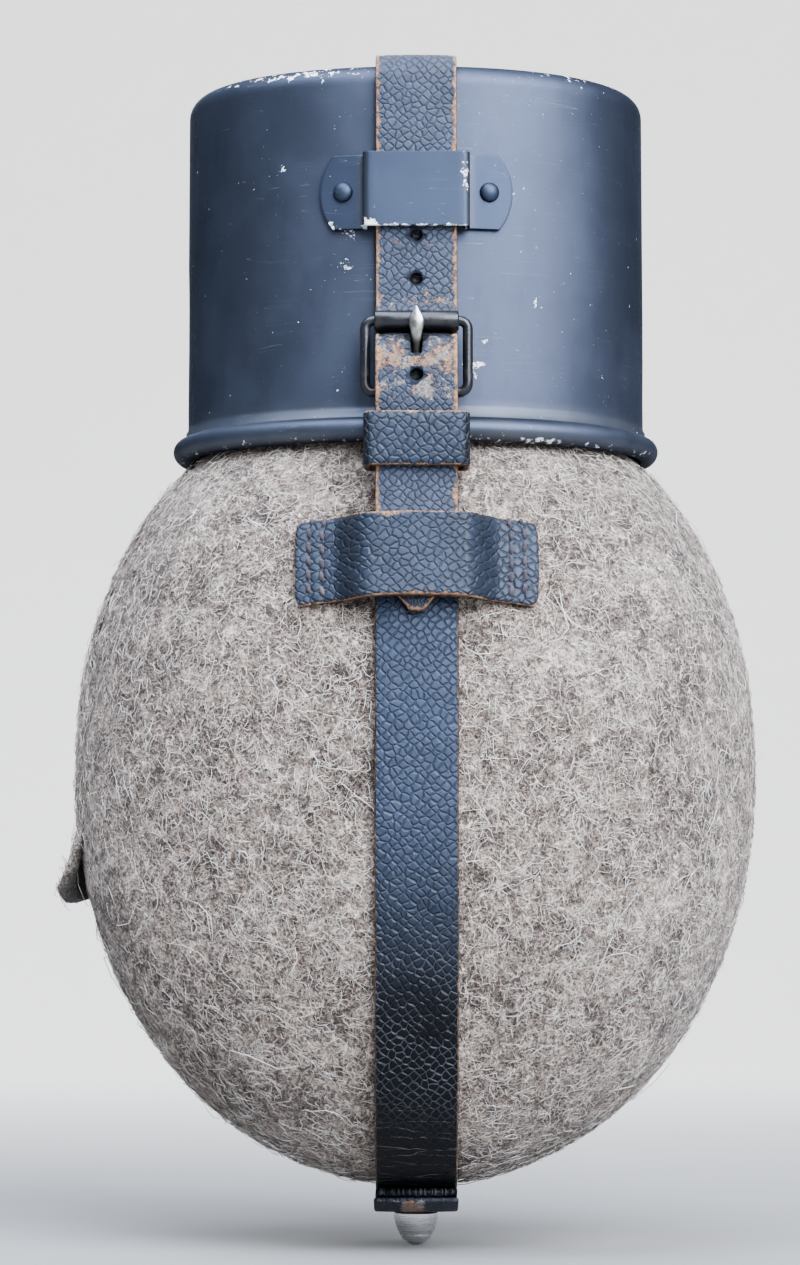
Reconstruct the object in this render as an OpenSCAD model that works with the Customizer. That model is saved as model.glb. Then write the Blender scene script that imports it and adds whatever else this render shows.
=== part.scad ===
// Felt-covered field canteen with an inverted drinking cup, a leather strap harness and a
// snap hook. +Z is up, -Y is the front, and the origin is under the bottle at the stud's tip.

/* [Bottle and felt] */
// Greatest width over the felt, without the side flap
felt_w = 137; // [134:1:140]
// How far the felt's front stands before the neck's axis
belly_front = 44; // [43.5:0.5:44.5]
// How far the felt's back stands behind the neck's axis
belly_back = 40; // [39.5:0.5:40.5]
// Height of the widest level above the stud's tip
z_wide = 94; // [93:0.5:95]
// Thickness of the felt
felt_t = 3; // [2.5:0.5:3]
// Wall of the drawn aluminium bottle
bottle_wall = 1; // [0.8:0.1:1.2]

/* [Neck and screw cap] */
// Outer radius of the neck at the root of its thread
neck_r = 12.4; // [12:0.1:12.6]
// Inner radius of the mouth
mouth_r = 10.5; // [9.5:0.5:10.5]
// Height of the mouth's lip above the stud's tip
lip_z = 188.5; // [187.5:0.5:190]
// Rise of the thread in one turn
pitch = 3; // [3:1:3]
// Outer radius of the cap over its ribs
cap_r = 16.6; // [16:0.1:17]

/* [Drinking cup] */
// Width of the cup's wall
cup_w = 93.5; // [93:0.5:95]
// Depth of the cup's wall, front to back
cup_d = 65; // [65:0.5:65.5]
// Height of the cup's rolled rim edge above the stud's tip
rim_z = 157.7; // [157.5:0.1:158.5]
// Height of the cup, rim edge to base
cup_h = 75.8; // [74:0.2:80]
// Wall of the cup
cup_wall = 0.9; // [0.7:0.1:0.9]

/* [Straps and buckle] */
// Width of both leather straps
strap_w = 16; // [15:0.5:16]
// Thickness of both leather straps
strap_t = 1.8; // [1.6:0.1:1.8]
// Height of the bar that the buckle hinges on
bar_z = 166.2; // [166:0.1:166.4]
// Height of the bar that carries the roller
roller_z = 180.3; // [180:0.1:181]
// Width of the leather loops sewn to the felt
sewn_w = 46.6; // [44:0.2:48]
// Height of the leather loops sewn to the felt
sewn_h = 17.2; // [15:0.2:17.2]

/* [Snap hook] */
// Inner radius of the hook's eye
eye_r = 7.5; // [7:0.25:7.5]
// Thickness of the cast hook, front to back
hook_t = 4.6; // [4:0.2:5]

/* [Hidden] */
$fn = 48;

// Small clearance between neighbours that lie against each other
gap = 0.2;

// The body is a superellipse seen from the front and from the side, above and below its widest level
body_up = 80;
body_low = 81.8;
up_n = [2.2, 2.4];
low_n = [2.05, 2.6];
plan_n = [2.2, 2.5];
felt_top = 69.5;
felt_foot = -87;
felt_rows = 20;
bottle_skin = -felt_t - gap;
neck_z = 173;

// Cup
cup_n = 2.1;
bead_out = 2.9;
bead_h = 4.6;
cup_top = rim_z + cup_h;
corner_r = 4;
wall_y = cup_d / 2;
bead_y = wall_y + bead_out;
bracket_z = cup_top - 26.3;
bracket_h = 14.8;
bracket_w = 37.6;
sheet_t = 0.9;
rivet_x = 14.4;
rivet_turn = 11.2;

// Cap
thread_low = 177;
thread_high = 186;
thread_deep = 1;
thread_gap = 0.35;
skirt_z = 176.2;
gasket_t = 1.4;
ceiling_z = lip_z + gasket_t + 0.3;
cap_top = ceiling_z + 2;
ribs = 24;

// Strap layers over the cup's bead, counted outward from the cup
keeper_back = 1.4;
ply = strap_t + gap;
bead_ply = bead_y + 0.3 + keeper_back + gap + strap_t / 2;
wire_r = 1;
buckle_y = -(bead_y + 0.3 + strap_t + 0.1 + wire_r);
roller_r = 2;
buckle_half = 9.95;
lay = 0.3 + strap_t / 2;
sewn_z = 134;
sewn_t = 2;
keeper_z = 156.5;
keeper_h = 10.6;

// Base stud and the strap end that buttons on it
stud_h = 6.5;
stud_r = 4.5;
stud_neck_r = 1.9;
pad_t = 1.2;

// Snap hook
hook_y = 43.8;
hook_low = 184;
hook_high = 196;
hook_wall = 4;
ring_bar_z = 163.5;
ring_top_z = 170.5;
ring_r = 1.3;
ring_half = 9.6;
gate_x = eye_r + hook_wall / 2;
gate_low = 181.5;
gate_high = 197;
pin_r = 0.9;

// ---------- helpers ----------

function reversed(list) = [for (i = [len(list) - 1:-1:0]) list[i]];

// A power that keeps the sign of its base
function signed_pow(v, p) = sign(v) * pow(abs(v), p);

// Share of its greatest extent that the body has at the latitude phi
function share(phi, n) = pow(1 - pow(abs(sin(phi)), n), 1 / n);

// Height of the latitude phi on the body's surface moved out by o
function level(phi, o) = z_wide + ((phi > 0 ? body_up : body_low) + o) * sin(phi);

// Point of the body at latitude phi and bearing theta, moved out by o
function body_point(phi, theta, o) =
    let (
        half_w = (felt_w / 2 + o) * share(phi, phi > 0 ? up_n[0] : low_n[0]),
        back = sin(theta) > 0,
        deep = (back ? belly_back : belly_front) + o,
        half_d = deep * share(phi, phi > 0 ? up_n[1] : low_n[1]),
        n = plan_n[back ? 1 : 0]
    )
    [half_w * signed_pow(cos(theta), 2 / n), half_d * signed_pow(sin(theta), 2 / n), level(phi, o)];

// The body's section on its plane of symmetry, as [y, z]; side is -1 in front and 1 behind
function mid_point(phi, side, o) =
    [
        side * ((side < 0 ? belly_front : belly_back) + o) * share(phi, phi > 0 ? up_n[1] : low_n[1]),
        level(phi, o)
    ];

// Distance from the neck's axis to the cup's wall, moved out by o, at the sideways place x
function cup_y(x, o) = (wall_y + o) * pow(1 - pow(abs(x) / (cup_w / 2 + o), cup_n), 1 / cup_n);

function cup_ring(z, o, n) =
    [for (i = [0:n - 1]) [
        (cup_w / 2 + o) * signed_pow(cos(360 * i / n), 2 / cup_n),
        (wall_y + o) * signed_pow(sin(360 * i / n), 2 / cup_n),
        z
    ]];

function circle_ring(r, z, n) = [for (i = [0:n - 1]) [r * cos(360 * i / n), r * sin(360 * i / n), z]];

// Closed solid through a list of rings with the same number of points, with flat ends
module loft(rings) {
    n = len(rings[0]);
    last = (len(rings) - 1) * n;
    sides = [for (r = [0:len(rings) - 2], i = [0:n - 1])
        let (a = r * n + i, b = r * n + (i + 1) % n)
        each [[a, a + n, b], [b, a + n, b + n]]];
    ends = [for (i = [1:n - 2]) each [[0, i, i + 1], [last, last + i + 1, last + i]]];
    points = [for (ring = rings) each ring];
    polyhedron(points, concat(sides, ends), convexity = 8);
}

// Closed solid between two grids of points, outer and inner, row by row
module thick_sheet(outer, inner) {
    rows = len(outer);
    cols = len(outer[0]);
    deep = rows * cols;
    function at(r, c, side) = side * deep + r * cols + c;
    skins = [for (r = [0:rows - 2], c = [0:cols - 2]) each [
        [at(r, c, 0), at(r + 1, c, 0), at(r, c + 1, 0)],
        [at(r, c + 1, 0), at(r + 1, c, 0), at(r + 1, c + 1, 0)],
        [at(r, c, 1), at(r, c + 1, 1), at(r + 1, c, 1)],
        [at(r, c + 1, 1), at(r + 1, c + 1, 1), at(r + 1, c, 1)]
    ]];
    ends = [for (c = [0:cols - 2]) each [
        [at(0, c, 0), at(0, c + 1, 0), at(0, c, 1)],
        [at(0, c + 1, 0), at(0, c + 1, 1), at(0, c, 1)],
        [at(rows - 1, c, 0), at(rows - 1, c, 1), at(rows - 1, c + 1, 0)],
        [at(rows - 1, c + 1, 0), at(rows - 1, c, 1), at(rows - 1, c + 1, 1)]
    ]];
    edges = [for (r = [0:rows - 2]) each [
        [at(r, 0, 0), at(r, 0, 1), at(r + 1, 0, 0)],
        [at(r + 1, 0, 0), at(r, 0, 1), at(r + 1, 0, 1)],
        [at(r, cols - 1, 0), at(r + 1, cols - 1, 0), at(r, cols - 1, 1)],
        [at(r + 1, cols - 1, 0), at(r + 1, cols - 1, 1), at(r, cols - 1, 1)]
    ]];
    points = concat([for (row = outer) each row], [for (row = inner) each row]);
    polyhedron(points, concat(skins, ends, edges), convexity = 8);
}

// Unit normal of a route at its point i
function route_normal(route, i) =
    let (d = route[min(i + 1, len(route) - 1)] - route[max(i - 1, 0)])
    [-d[1], d[0]] / norm(d);

function beside(route, s) = [for (i = [0:len(route) - 1]) route[i] + s * route_normal(route, i)];

// Turns a drawing in [y, z] into a solid of the given width across the part
module across(width) {
    rotate([90, 0, 90]) linear_extrude(width, center = true) children();
}

// An outline drawn for +X alone, completed by its mirror image
function both_sides(half) = concat(half, [for (p = reversed(half)) [-p[0], p[1]]]);

// A flat strap along a centre line given as [y, z]
module strip(route, t, width) {
    across(width) polygon(concat(beside(route, t / 2), reversed(beside(route, -t / 2))));
}

// A rectangle with round corners, centred
module rounded(w, h, r) {
    square([w - 2 * r, h], center = true);
    square([w, h - 2 * r], center = true);
    for (x = [-1, 1], y = [-1, 1]) translate([x * (w / 2 - r), y * (h / 2 - r)]) circle(r);
}

// A bar along X
module x_bar(r, length) {
    rotate([0, 90, 0]) cylinder(r = r, h = length, center = true);
}

// A bar along Y
module y_bar(r, length) {
    rotate([90, 0, 0]) cylinder(r = r, h = length, center = true);
}

// Wire bent to a rectangle in the XZ plane, from its bottom bar at z 0 to its top bar
module wire_frame(half_w, height, r, low_bend, high_bend) {
    for (s = [-1, 1]) {
        translate([s * half_w, 0, low_bend]) cylinder(r = r, h = height - low_bend - high_bend);
        translate([s * (half_w - low_bend), 0, low_bend]) rotate([90, 0, 0])
            rotate([0, 0, s > 0 ? 270 : 180]) rotate_extrude(angle = 90) translate([low_bend, 0]) circle(r);
        translate([s * (half_w - high_bend), 0, height - high_bend]) rotate([90, 0, 0])
            rotate([0, 0, s > 0 ? 0 : 90]) rotate_extrude(angle = 90) translate([high_bend, 0]) circle(r);
    }
    x_bar(r, 2 * (half_w - low_bend));
    translate([0, 0, height]) x_bar(r, 2 * (half_w - high_bend));
}

// Dome of radius r and height h, flat side on z 0
module dome(r, h) {
    ball = (r * r + h * h) / (2 * h);
    intersection() {
        translate([0, 0, h - ball]) sphere(ball);
        cylinder(r = r + 1, h = h + 1);
    }
}

// ---------- bottle, felt ----------

// Height of the thread's crest at the angle theta and height z, from 0 to 1
function thread_wave(theta, z) = (1 + cos(360 * z / pitch - theta)) / 2;

function fade(z, low, high) = max(0, min(1, (z - low) / 1.5 + 0.5, (high - z) / 1.5 + 0.5));

function neck_ring(z, n) =
    [for (i = [0:n - 1])
        let (
            theta = 360 * i / n,
            r = neck_r + thread_deep * thread_wave(theta, z) * fade(z, thread_low, thread_high)
        )
        [r * cos(theta), r * sin(theta), z]];

// Rings of the shoulder as it closes in from the latitude phi to the round neck of radius r
function shoulder(phi, o, r, top, n) =
    let (from = [for (i = [0:n - 1]) body_point(phi, 360 * i / n, o)], to = circle_ring(r, top, n))
    [for (t = [30, 60, 90])
        [for (i = [0:n - 1]) [
            from[i][0] + (to[i][0] - from[i][0]) * sin(t),
            from[i][1] + (to[i][1] - from[i][1]) * sin(t),
            from[i][2] + (top - from[i][2]) * (1 - cos(t))
        ]]];

module bottle_shell() {
    n = 40;
    inside = bottle_skin - bottle_wall;
    thread_step = pitch / 8;
    rows = 17;
    function wall(phi, o) = [for (i = [0:n - 1]) body_point(phi, 360 * i / n, o)];
    outer = [for (i = [0:rows]) wall(-86 + i * (felt_top + 86) / rows, bottle_skin)];
    thread = [for (z = [thread_low - 1:thread_step:thread_high + 1]) neck_ring(z, n)];
    lip = [circle_ring(neck_r, lip_z - 0.4, n), circle_ring(neck_r - 0.4, lip_z, n)];
    mouth = [circle_ring(mouth_r + 0.3, lip_z, n), circle_ring(mouth_r, lip_z - 0.3, n)];
    inner = [for (i = [rows:-1:0]) wall(-86 + i * (felt_top + 86) / rows, inside)];
    color("silver")
        loft(concat(
            outer, shoulder(felt_top, bottle_skin, neck_r, neck_z, n), thread, lip, mouth,
            reversed(shoulder(felt_top, inside, mouth_r, neck_z, n)), inner));
}

// One half of the felt cover, between two bearings
module felt_panel(from, to) {
    cols = 20;
    function row(phi, o) = [for (c = [0:cols]) body_point(phi, from + (to - from) * c / cols, o)];
    lats = [for (i = [0:felt_rows]) felt_top - (felt_top - felt_foot) * i / felt_rows];
    color("dimgray") thick_sheet([for (p = lats) row(p, 0)], [for (p = lats) row(p, -felt_t)]);
}

module felt_front() {
    felt_panel(180.2, 359.8);
}

module felt_back() {
    felt_panel(0.2, 179.8);
}

// The closing flap runs down the left side and ends in a rounded tongue
flap_high = 48;
flap_low = -17;
flap_mid = 173;
flap_half = 22;
flap_t = 1.9;
flap_gap = 0.45;

module felt_flap() {
    rows = 16;
    cols = 8;
    // The tongue's half width falls off over its last stretch
    function half(phi) = flap_half * sqrt(max(0.04, 1 - pow(max(0, (flap_low + 9 - phi) / 9), 2)));
    lats = [for (i = [0:rows]) flap_high - (flap_high - flap_low) * i / rows];
    function row(phi, o) = [for (c = [0:cols]) body_point(phi, flap_mid + half(phi) * (2 * c / cols - 1), o)];
    color("gray")
        thick_sheet([for (p = lats) row(p, flap_gap + flap_t)], [for (p = lats) row(p, flap_gap)]);
}

// Places its children on the flap at each press stud, with +Z pointing out of the felt
module at_studs(o) {
    for (phi = [38, 20, 2]) {
        bearing = 158;
        p = body_point(phi, bearing, o);
        e = 0.5;
        du = body_point(phi + e, bearing, o) - body_point(phi - e, bearing, o);
        dv = body_point(phi, bearing + e, o) - body_point(phi, bearing - e, o);
        normal = cross(dv, du) / norm(cross(dv, du));
        lean = acos(normal[2]);
        around = atan2(normal[1], normal[0]);
        translate(p) rotate([0, 0, around]) rotate([0, lean, 0]) children();
    }
}

// Domed caps with a post through the flap
module press_stud_caps() {
    post = flap_t + flap_gap + 0.3;
    color("darkslategray")
        at_studs(flap_gap + flap_t) translate([0, 0, 0.3]) {
            cylinder(r = 5.4, h = 0.6);
            translate([0, 0, 0.55]) dome(5.4, 1.4);
            translate([0, 0, -post - 0.3]) cylinder(r = 1.4, h = post + 0.4);
        }
}

// Sockets sunk in the felt under the flap
module press_stud_sockets() {
    color("gray")
        at_studs(0) translate([0, 0, -1.2]) difference() {
            cylinder(r = 4.2, h = 1);
            translate([0, 0, -0.5]) cylinder(r = 1.8, h = 2);
        }
}

// ---------- cup ----------

module cup_shell() {
    n = 56;
    bead_r = bead_h / 2;
    // The bead leaves the wall at its top and rolls under to the rim edge
    bead = [for (a = [90:-22.5:-90])
        cup_ring(rim_z + bead_r + bead_r * sin(a), bead_out - bead_r + bead_r * cos(a), n)];
    corner = [for (a = [0:18:90]) cup_ring(cup_top - corner_r + corner_r * sin(a), corner_r * (cos(a) - 1), n)];
    in_r = corner_r - cup_wall;
    roof = [for (a = [90:-22.5:0])
        cup_ring(cup_top - corner_r + in_r * sin(a), in_r * cos(a) - corner_r, n)];
    color("darkslategray")
        loft(concat(
            roof, [cup_ring(rim_z + 0.5, -cup_wall, n), cup_ring(rim_z, -cup_wall / 2, n)],
            reversed(bead), [cup_ring(rim_z + bead_h + 0.3, 0, n)], corner));
}

// Half of a bracket's section: [x, distance out from the cup's wall]
module bracket() {
    side = 9.6;
    stand = 2.7;
    function out(x, o) = [x, -cup_y(x, 0) - o];
    // The bridge is straight, so its distance is measured from the wall's middle
    function flat(x, o) = [x, -wall_y - o];
    half = [
        flat(side - 0.6, stand), out(side + 0.9, 0.05), out(14, 0.05), out(bracket_w / 2, 0.05),
        out(bracket_w / 2, 0.05 + sheet_t), out(14, 0.05 + sheet_t), out(side + 1.2, 0.05 + sheet_t),
        flat(side + 0.3, stand + sheet_t)
    ];
    intersection() {
        translate([0, 0, bracket_z - bracket_h / 2]) linear_extrude(bracket_h) polygon(both_sides(half));
        // Outline of the two ears, seen from the front
        translate([0, 0, bracket_z]) rotate([90, 0, 0]) linear_extrude(wall_y + 10) {
            square([bracket_w - 9, bracket_h], center = true);
            for (s = [-1, 1]) translate([s * (bracket_w / 2 - 11.8), 0]) intersection() {
                circle(11.8);
                square([40, bracket_h], center = true);
            }
        }
        // Leaves the rivet holes open
        translate([0, 0, bracket_z]) difference() {
            cube([60, 4 * wall_y, 40], center = true);
            at_rivets() translate([0, 0, -5]) cylinder(r = 1.2, h = 10);
        }
    }
}

// Places its children on the wall's outer face at both rivets, with +Z pointing forward and out
module at_rivets() {
    for (s = [-1, 1]) translate([s * rivet_x, -cup_y(rivet_x, 0), 0])
        rotate([0, 0, s * rivet_turn]) rotate([90, 0, 0]) children();
}

module rivet_pair() {
    translate([0, 0, bracket_z]) at_rivets() {
        translate([0, 0, sheet_t + 0.15]) dome(1.9, 1.1);
        translate([0, 0, -cup_wall - 0.3]) cylinder(r = 1.1, h = cup_wall + sheet_t + 0.6);
        translate([0, 0, -cup_wall - 0.75]) cylinder(r = 1.8, h = 0.6);
    }
}

module front_bracket() {
    color("darkslategray") bracket();
}

module back_bracket() {
    color("darkslategray") mirror([0, 1, 0]) bracket();
}

module front_rivets() {
    color("dimgray") rivet_pair();
}

module back_rivets() {
    color("dimgray") mirror([0, 1, 0]) rivet_pair();
}

// ---------- screw cap ----------

module screw_cap() {
    n = 2 * ribs;
    function ribbed(z, r, deep) =
        [for (i = [0:n - 1]) let (s = r - (i % 2) * deep) [s * cos(360 * i / n), s * sin(360 * i / n), z]];
    function bored(z) =
        [for (i = [0:n - 1])
            let (
                theta = 360 * i / n,
                open = neck_r + thread_deep + thread_gap,
                r = open - thread_deep * (1 - thread_wave(theta, z)) * fade(z, thread_low + 1, thread_high)
            )
            [r * cos(theta), r * sin(theta), z]];
    step = pitch / 8;
    inner_r = neck_r + thread_deep + thread_gap;
    color("gainsboro")
        loft(concat(
            [circle_ring(inner_r, ceiling_z, n), circle_ring(inner_r, thread_high + 1.6, n)],
            [for (z = [thread_high + 1:-step:thread_low]) bored(z)],
            [circle_ring(inner_r, skirt_z, n), circle_ring(cap_r - 0.6, skirt_z, n)],
            [ribbed(skirt_z + 0.6, cap_r, 0), ribbed(skirt_z + 1.8, cap_r, 0.7)],
            [ribbed(cap_top - 2.4, cap_r, 0.7), ribbed(cap_top - 1.4, cap_r, 0.2)],
            [circle_ring(cap_r - 0.9, cap_top - 0.3, n), circle_ring(cap_r - 2, cap_top, n)]));
}

module cap_gasket() {
    color("saddlebrown")
        translate([0, 0, lip_z + 0.15]) difference() {
            cylinder(r = neck_r + thread_deep, h = gasket_t);
            translate([0, 0, -1]) cylinder(r = 7, h = gasket_t + 2);
        }
}

tether_t = 1.5;
tether_w = 8;
tether_x = 19.6;

// Leather strip from the cap's rivet down its side to a loop round the neck
module cap_tether() {
    top = cap_top + gap + tether_t / 2;
    bend = 2.6;
    corner = [for (a = [90:-15:0]) [tether_x - bend + bend * cos(a), top - bend + bend * sin(a)]];
    route = concat([[-5, top]], corner, [[tether_x, 184], [tether_x - 0.2, 177], [17.5, 174.6], [14.4, 174.5]]);
    color("saddlebrown") difference() {
        union() {
            rotate([0, 0, -90]) strip(route, tether_t, tether_w);
            translate([0, 0, neck_z + 0.3]) difference() {
                cylinder(r = neck_r + thread_deep + 0.3 + tether_t, h = 2.4);
                translate([0, 0, -1]) cylinder(r = neck_r + thread_deep + 0.3, h = 5);
            }
        }
        translate([0, 0, cap_top - 1]) cylinder(r = 2.1, h = 5);
        cylinder(r = neck_r + thread_deep + 0.3, h = neck_z + 3);
    }
}

module tether_rivet() {
    color("silver") {
        translate([0, 0, ceiling_z - 0.1]) cylinder(r = 2, h = cap_top - ceiling_z + tether_t + 0.6);
        translate([0, 0, cap_top + gap + tether_t + 0.15]) dome(3.4, 1.3);
    }
}

// ---------- straps ----------

// Latitudes at which both straps are drawn over the belly
belly_step = 7.825;
belly_high = 25.5;
function belly(side, high, low, o) = [for (p = [high:-belly_step:low]) mid_point(p, side, o)];

// Arc of points round [y, z], from one angle to another
function arc(centre, r, from, to, step) = [for (a = [from:step:to]) centre + r * [cos(a), sin(a)]];

// Both ends of the harness lie under the bottle: this one against the felt
buckle_tail = [for (p = [-88, -84, -79]) mid_point(p, 1, lay)];

// Folds round the buckle's bar, then runs down the belly and under the bottle
module buckle_strap() {
    fold_r = wire_r + 0.1 + strap_t / 2;
    outer = -(bead_ply + ply);
    route = concat(
        [[-bead_ply, 146], [-bead_ply, 161.8], [buckle_y + fold_r - 0.1, 164.8]],
        arc([buckle_y, bar_z], fold_r, 0, 180, 22.5),
        [[outer, 161], [outer, 147], [outer - 1, 139.5], [outer - 1.6, 134.5]],
        belly(-1, belly_high, -85, lay),
        buckle_tail);
    color("midnightblue") difference() {
        strip(route, strap_t, strap_w);
        // Slot that lets the prong swing
        translate([0, buckle_y, bar_z + 1.3]) cube([3.6, 10, 8.6], center = true);
        // Bore for the stud's neck
        cylinder(r = stud_neck_r + 0.1, h = 20);
    }
}

// One length of leather: from the tongue's tip up the front, over the cup, down the back and under
tongue_tip = 122.9;
tongue_y = -(bead_ply + 2 * ply);
under = lay + ply + 0.1;
tongue_cup = wall_y + 0.3 + strap_t / 2;
back_y = bead_y + 0.9 + strap_t / 2;
crown_r = 4.6;
crown_z = cup_top + 0.3 + strap_t / 2;
long_route = concat(
    [[tongue_y - 3.35, tongue_tip], [tongue_y - 2.5, 128.7], [tongue_y - 1.7, 134.5], [tongue_y - 1.1, 139.5]],
    [[tongue_y, 147], [tongue_y, 161], [buckle_y - 4.1, 167], [buckle_y - 4.1, 171], [buckle_y - 3.7, 174.3]],
    [[buckle_y - 2.4, 176.2], [buckle_y - 0.2, 176.95]],
    arc([buckle_y, roller_z], roller_r + 0.2 + strap_t / 2, -75, 0, 15),
    [[-tongue_cup - 0.2, 185], [-tongue_cup, 189]],
    [for (a = [180:-15:90]) [-tongue_cup + crown_r, crown_z - crown_r] + crown_r * [cos(a), sin(a)]],
    [for (a = [90:-15:0]) [tongue_cup - crown_r, crown_z - crown_r] + crown_r * [cos(a), sin(a)]],
    [[tongue_cup, 168], [back_y, 162.5], [back_y, 158], [back_y + 0.3, 150], [back_y + 0.8, 139], [back_y + 1.2, 133.5]],
    belly(1, belly_high, -60, lay),
    [for (p = [-67:-6:-88]) mid_point(p, 1, lay + (under - lay) * min(1, (-p - 61) / 12))],
    [for (p = [-87:6:-73]) mid_point(p, -1, under)]);
hole_z = [198.2, 189.5];

module long_strap() {
    color("midnightblue") difference() {
        intersection() {
            strip(long_route, strap_t, strap_w);
            // The tongue ends in a point
            union() {
                translate([-50, -100, tongue_tip + 6]) cube([100, 200, 200]);
                translate([-50, -35, -20]) cube([100, 200, 200]);
                translate([-50, -100, -20]) cube([100, 100, 60]);
                translate([0, 0, tongue_tip]) rotate([90, 0, 0]) linear_extrude(100)
                    polygon([[-2.5, 0], [2.5, 0], [strap_w / 2, 6.5], [-strap_w / 2, 6.5]]);
            }
        }
        for (z = hole_z) translate([0, -tongue_cup, z]) y_bar(1.5, 8);
        translate([0, buckle_y - 5, 169]) y_bar(1.5, 8);
        // The hole that the prong stands in, drawn long by wear
        translate([0, buckle_y - 3, 175]) cube([3.2, 5, 6.4], center = true);
        cylinder(r = 2.6, h = 20);
    }
}

// Second thickness of leather under the strap's end, against the stud's knob
module strap_end_pad() {
    o = under + strap_t / 2 + gap / 2 + pad_t / 2;
    route = concat([for (p = [-79, -85]) mid_point(p, 1, o)], [for (p = [-87:6:-73]) mid_point(p, -1, o)]);
    color("black") difference() {
        strip(route, pad_t, strap_w + 0.6);
        cylinder(r = 2.6, h = 20);
    }
}

// Turned knob with a neck that is headed over inside the buckle strap
module base_stud() {
    profile = [for (a = [0:10:90]) [stud_r * cos(a), stud_h * (1 - sin(a))]];
    head_z = z_wide - body_low + gap;
    color("lightgray") {
        rotate_extrude() polygon(concat([[0, stud_h]], profile));
        translate([0, 0, stud_h - 0.1]) cylinder(r = stud_neck_r, h = head_z - stud_h + 0.2);
        translate([0, 0, head_z]) cylinder(r = 3.2, h = 0.9);
    }
}

// Band sewn to the felt at its ends and raised over what runs through it, drawn for the front
module sewn_loop(inner, end_y, tilt) {
    half = sewn_w / 2;
    half_in = strap_w / 2 + 0.4;
    inside = [[half_in, inner], [half_in + 2.5, inner - 1], [half_in + 6.5, end_y + 0.9], [half, end_y]];
    right = concat(inside, reversed([for (p = inside) p + [p[0] > half - 1 ? 0 : 0.3, sewn_t]]));
    translate([0, 0, sewn_z]) translate([0, -inner, 0]) rotate([-tilt, 0, 0]) translate([0, inner, 0])
        linear_extrude(sewn_h, center = true) polygon(both_sides([for (p = right) [p[0], -p[1]]]));
}

module front_loop() {
    color("midnightblue") sewn_loop(45.1, 39.4, 8.3);
}

module back_loop() {
    color("midnightblue") mirror([0, 1, 0]) sewn_loop(41.9, 36.4, 6.5);
}

module strap_keeper() {
    deep_in = strap_t * 3 + 4 * gap;
    front_t = 1.6;
    side_t = 1.9;
    mid = bead_y + 0.3 + (keeper_back + deep_in + front_t) / 2;
    color("midnightblue")
        translate([0, -mid, keeper_z]) linear_extrude(keeper_h, center = true) difference() {
            rounded(strap_w + 0.8 + 2 * side_t, keeper_back + deep_in + front_t, 1.2);
            translate([0, (front_t - keeper_back) / 2]) square([strap_w + 0.8, deep_in], center = true);
        }
}

// ---------- buckle ----------

module buckle_frame() {
    color("black") translate([0, buckle_y, bar_z]) wire_frame(buckle_half, roller_z - bar_z, wire_r, 1.85, 1.6);
}

module buckle_roller() {
    color("slategray") translate([0, buckle_y, roller_z]) difference() {
        x_bar(roller_r, 16.4);
        x_bar(wire_r + 0.08, 20);
    }
}

module buckle_prong() {
    y = buckle_y;
    route = [[y - 1.2, bar_z + 1.2], [y - 1.7, bar_z + 4], [y - 2.4, bar_z + 9], [y - 3.1, bar_z + 12], [y - 3.2, roller_z + 2.4]];
    color("gray") difference() {
        union() {
            translate([0, y, bar_z]) x_bar(wire_r + 1, 2.6);
            strip(route, 1.5, 2.2);
        }
        translate([0, y, bar_z]) x_bar(wire_r + 0.08, 10);
    }
}

// ---------- hanger and snap hook ----------

// Loop of leather round the back loop and the ring's bar
hanger_in = [[41.6, 124], [41.0, 128.7], [40.6, 134], [40.0, 142.5], [40.2, 150], [40.7, 158]];
hanger_out = [[44.9, 158], [42.2, 150.5], [42.7, 147], [44.3, 142.2], [45.2, 134], [46.2, 125.6]];

module hanger_strap() {
    wrap = ring_r + 0.1 + strap_t / 2;
    ring_turn = [for (a = [180:-22.5:0]) [hook_y, ring_bar_z] + wrap * [cos(a), sin(a)]];
    foot_turn = [for (a = [-10:-32:-170]) [43.9, 123.2] + 2.3 * [cos(a), sin(a)]];
    route = concat(hanger_in, ring_turn, hanger_out, foot_turn);
    color("midnightblue") difference() {
        across(strap_w) polygon(closed_beside(route, strap_t / 2));
        across(strap_w + 2) polygon(closed_beside(route, -strap_t / 2));
        at_hanger_rivets() y_bar(1.05, 12);
    }
}

module at_hanger_rivets() {
    for (x = [-4, 4]) translate([x, 41.2, 150.2]) children();
}

// Points beside a closed route
function closed_beside(route, s) =
    let (n = len(route))
    [for (i = [0:n - 1])
        let (d = route[(i + 1) % n] - route[(i + n - 1) % n])
        route[i] + s * [-d[1], d[0]] / norm(d)];

module hanger_rivets() {
    color("gray") at_hanger_rivets() {
        translate([0, 2.2, 0]) rotate([-90, 0, 0]) dome(1.8, 0.9);
        y_bar(1, 4.7);
        translate([0, -2.4, 0]) y_bar(1.8, 0.5);
    }
}

module hanger_ring() {
    color("silver") translate([0, hook_y, ring_bar_z]) difference() {
        union() {
            wire_frame(ring_half, ring_top_z - ring_bar_z, ring_r, 1.6, 2);
            translate([0, 0, ring_top_z - ring_bar_z - 1.8]) cylinder(r = 3.6, h = 3.6);
        }
        translate([0, 0, ring_top_z - ring_bar_z - 3]) cylinder(r = 2.08, h = 8);
    }
}

module eye_outline(r) {
    translate([0, hook_low]) circle(r);
    translate([0, hook_high]) circle(r);
    translate([-r, hook_low]) square([2 * r, hook_high - hook_low]);
}

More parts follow.
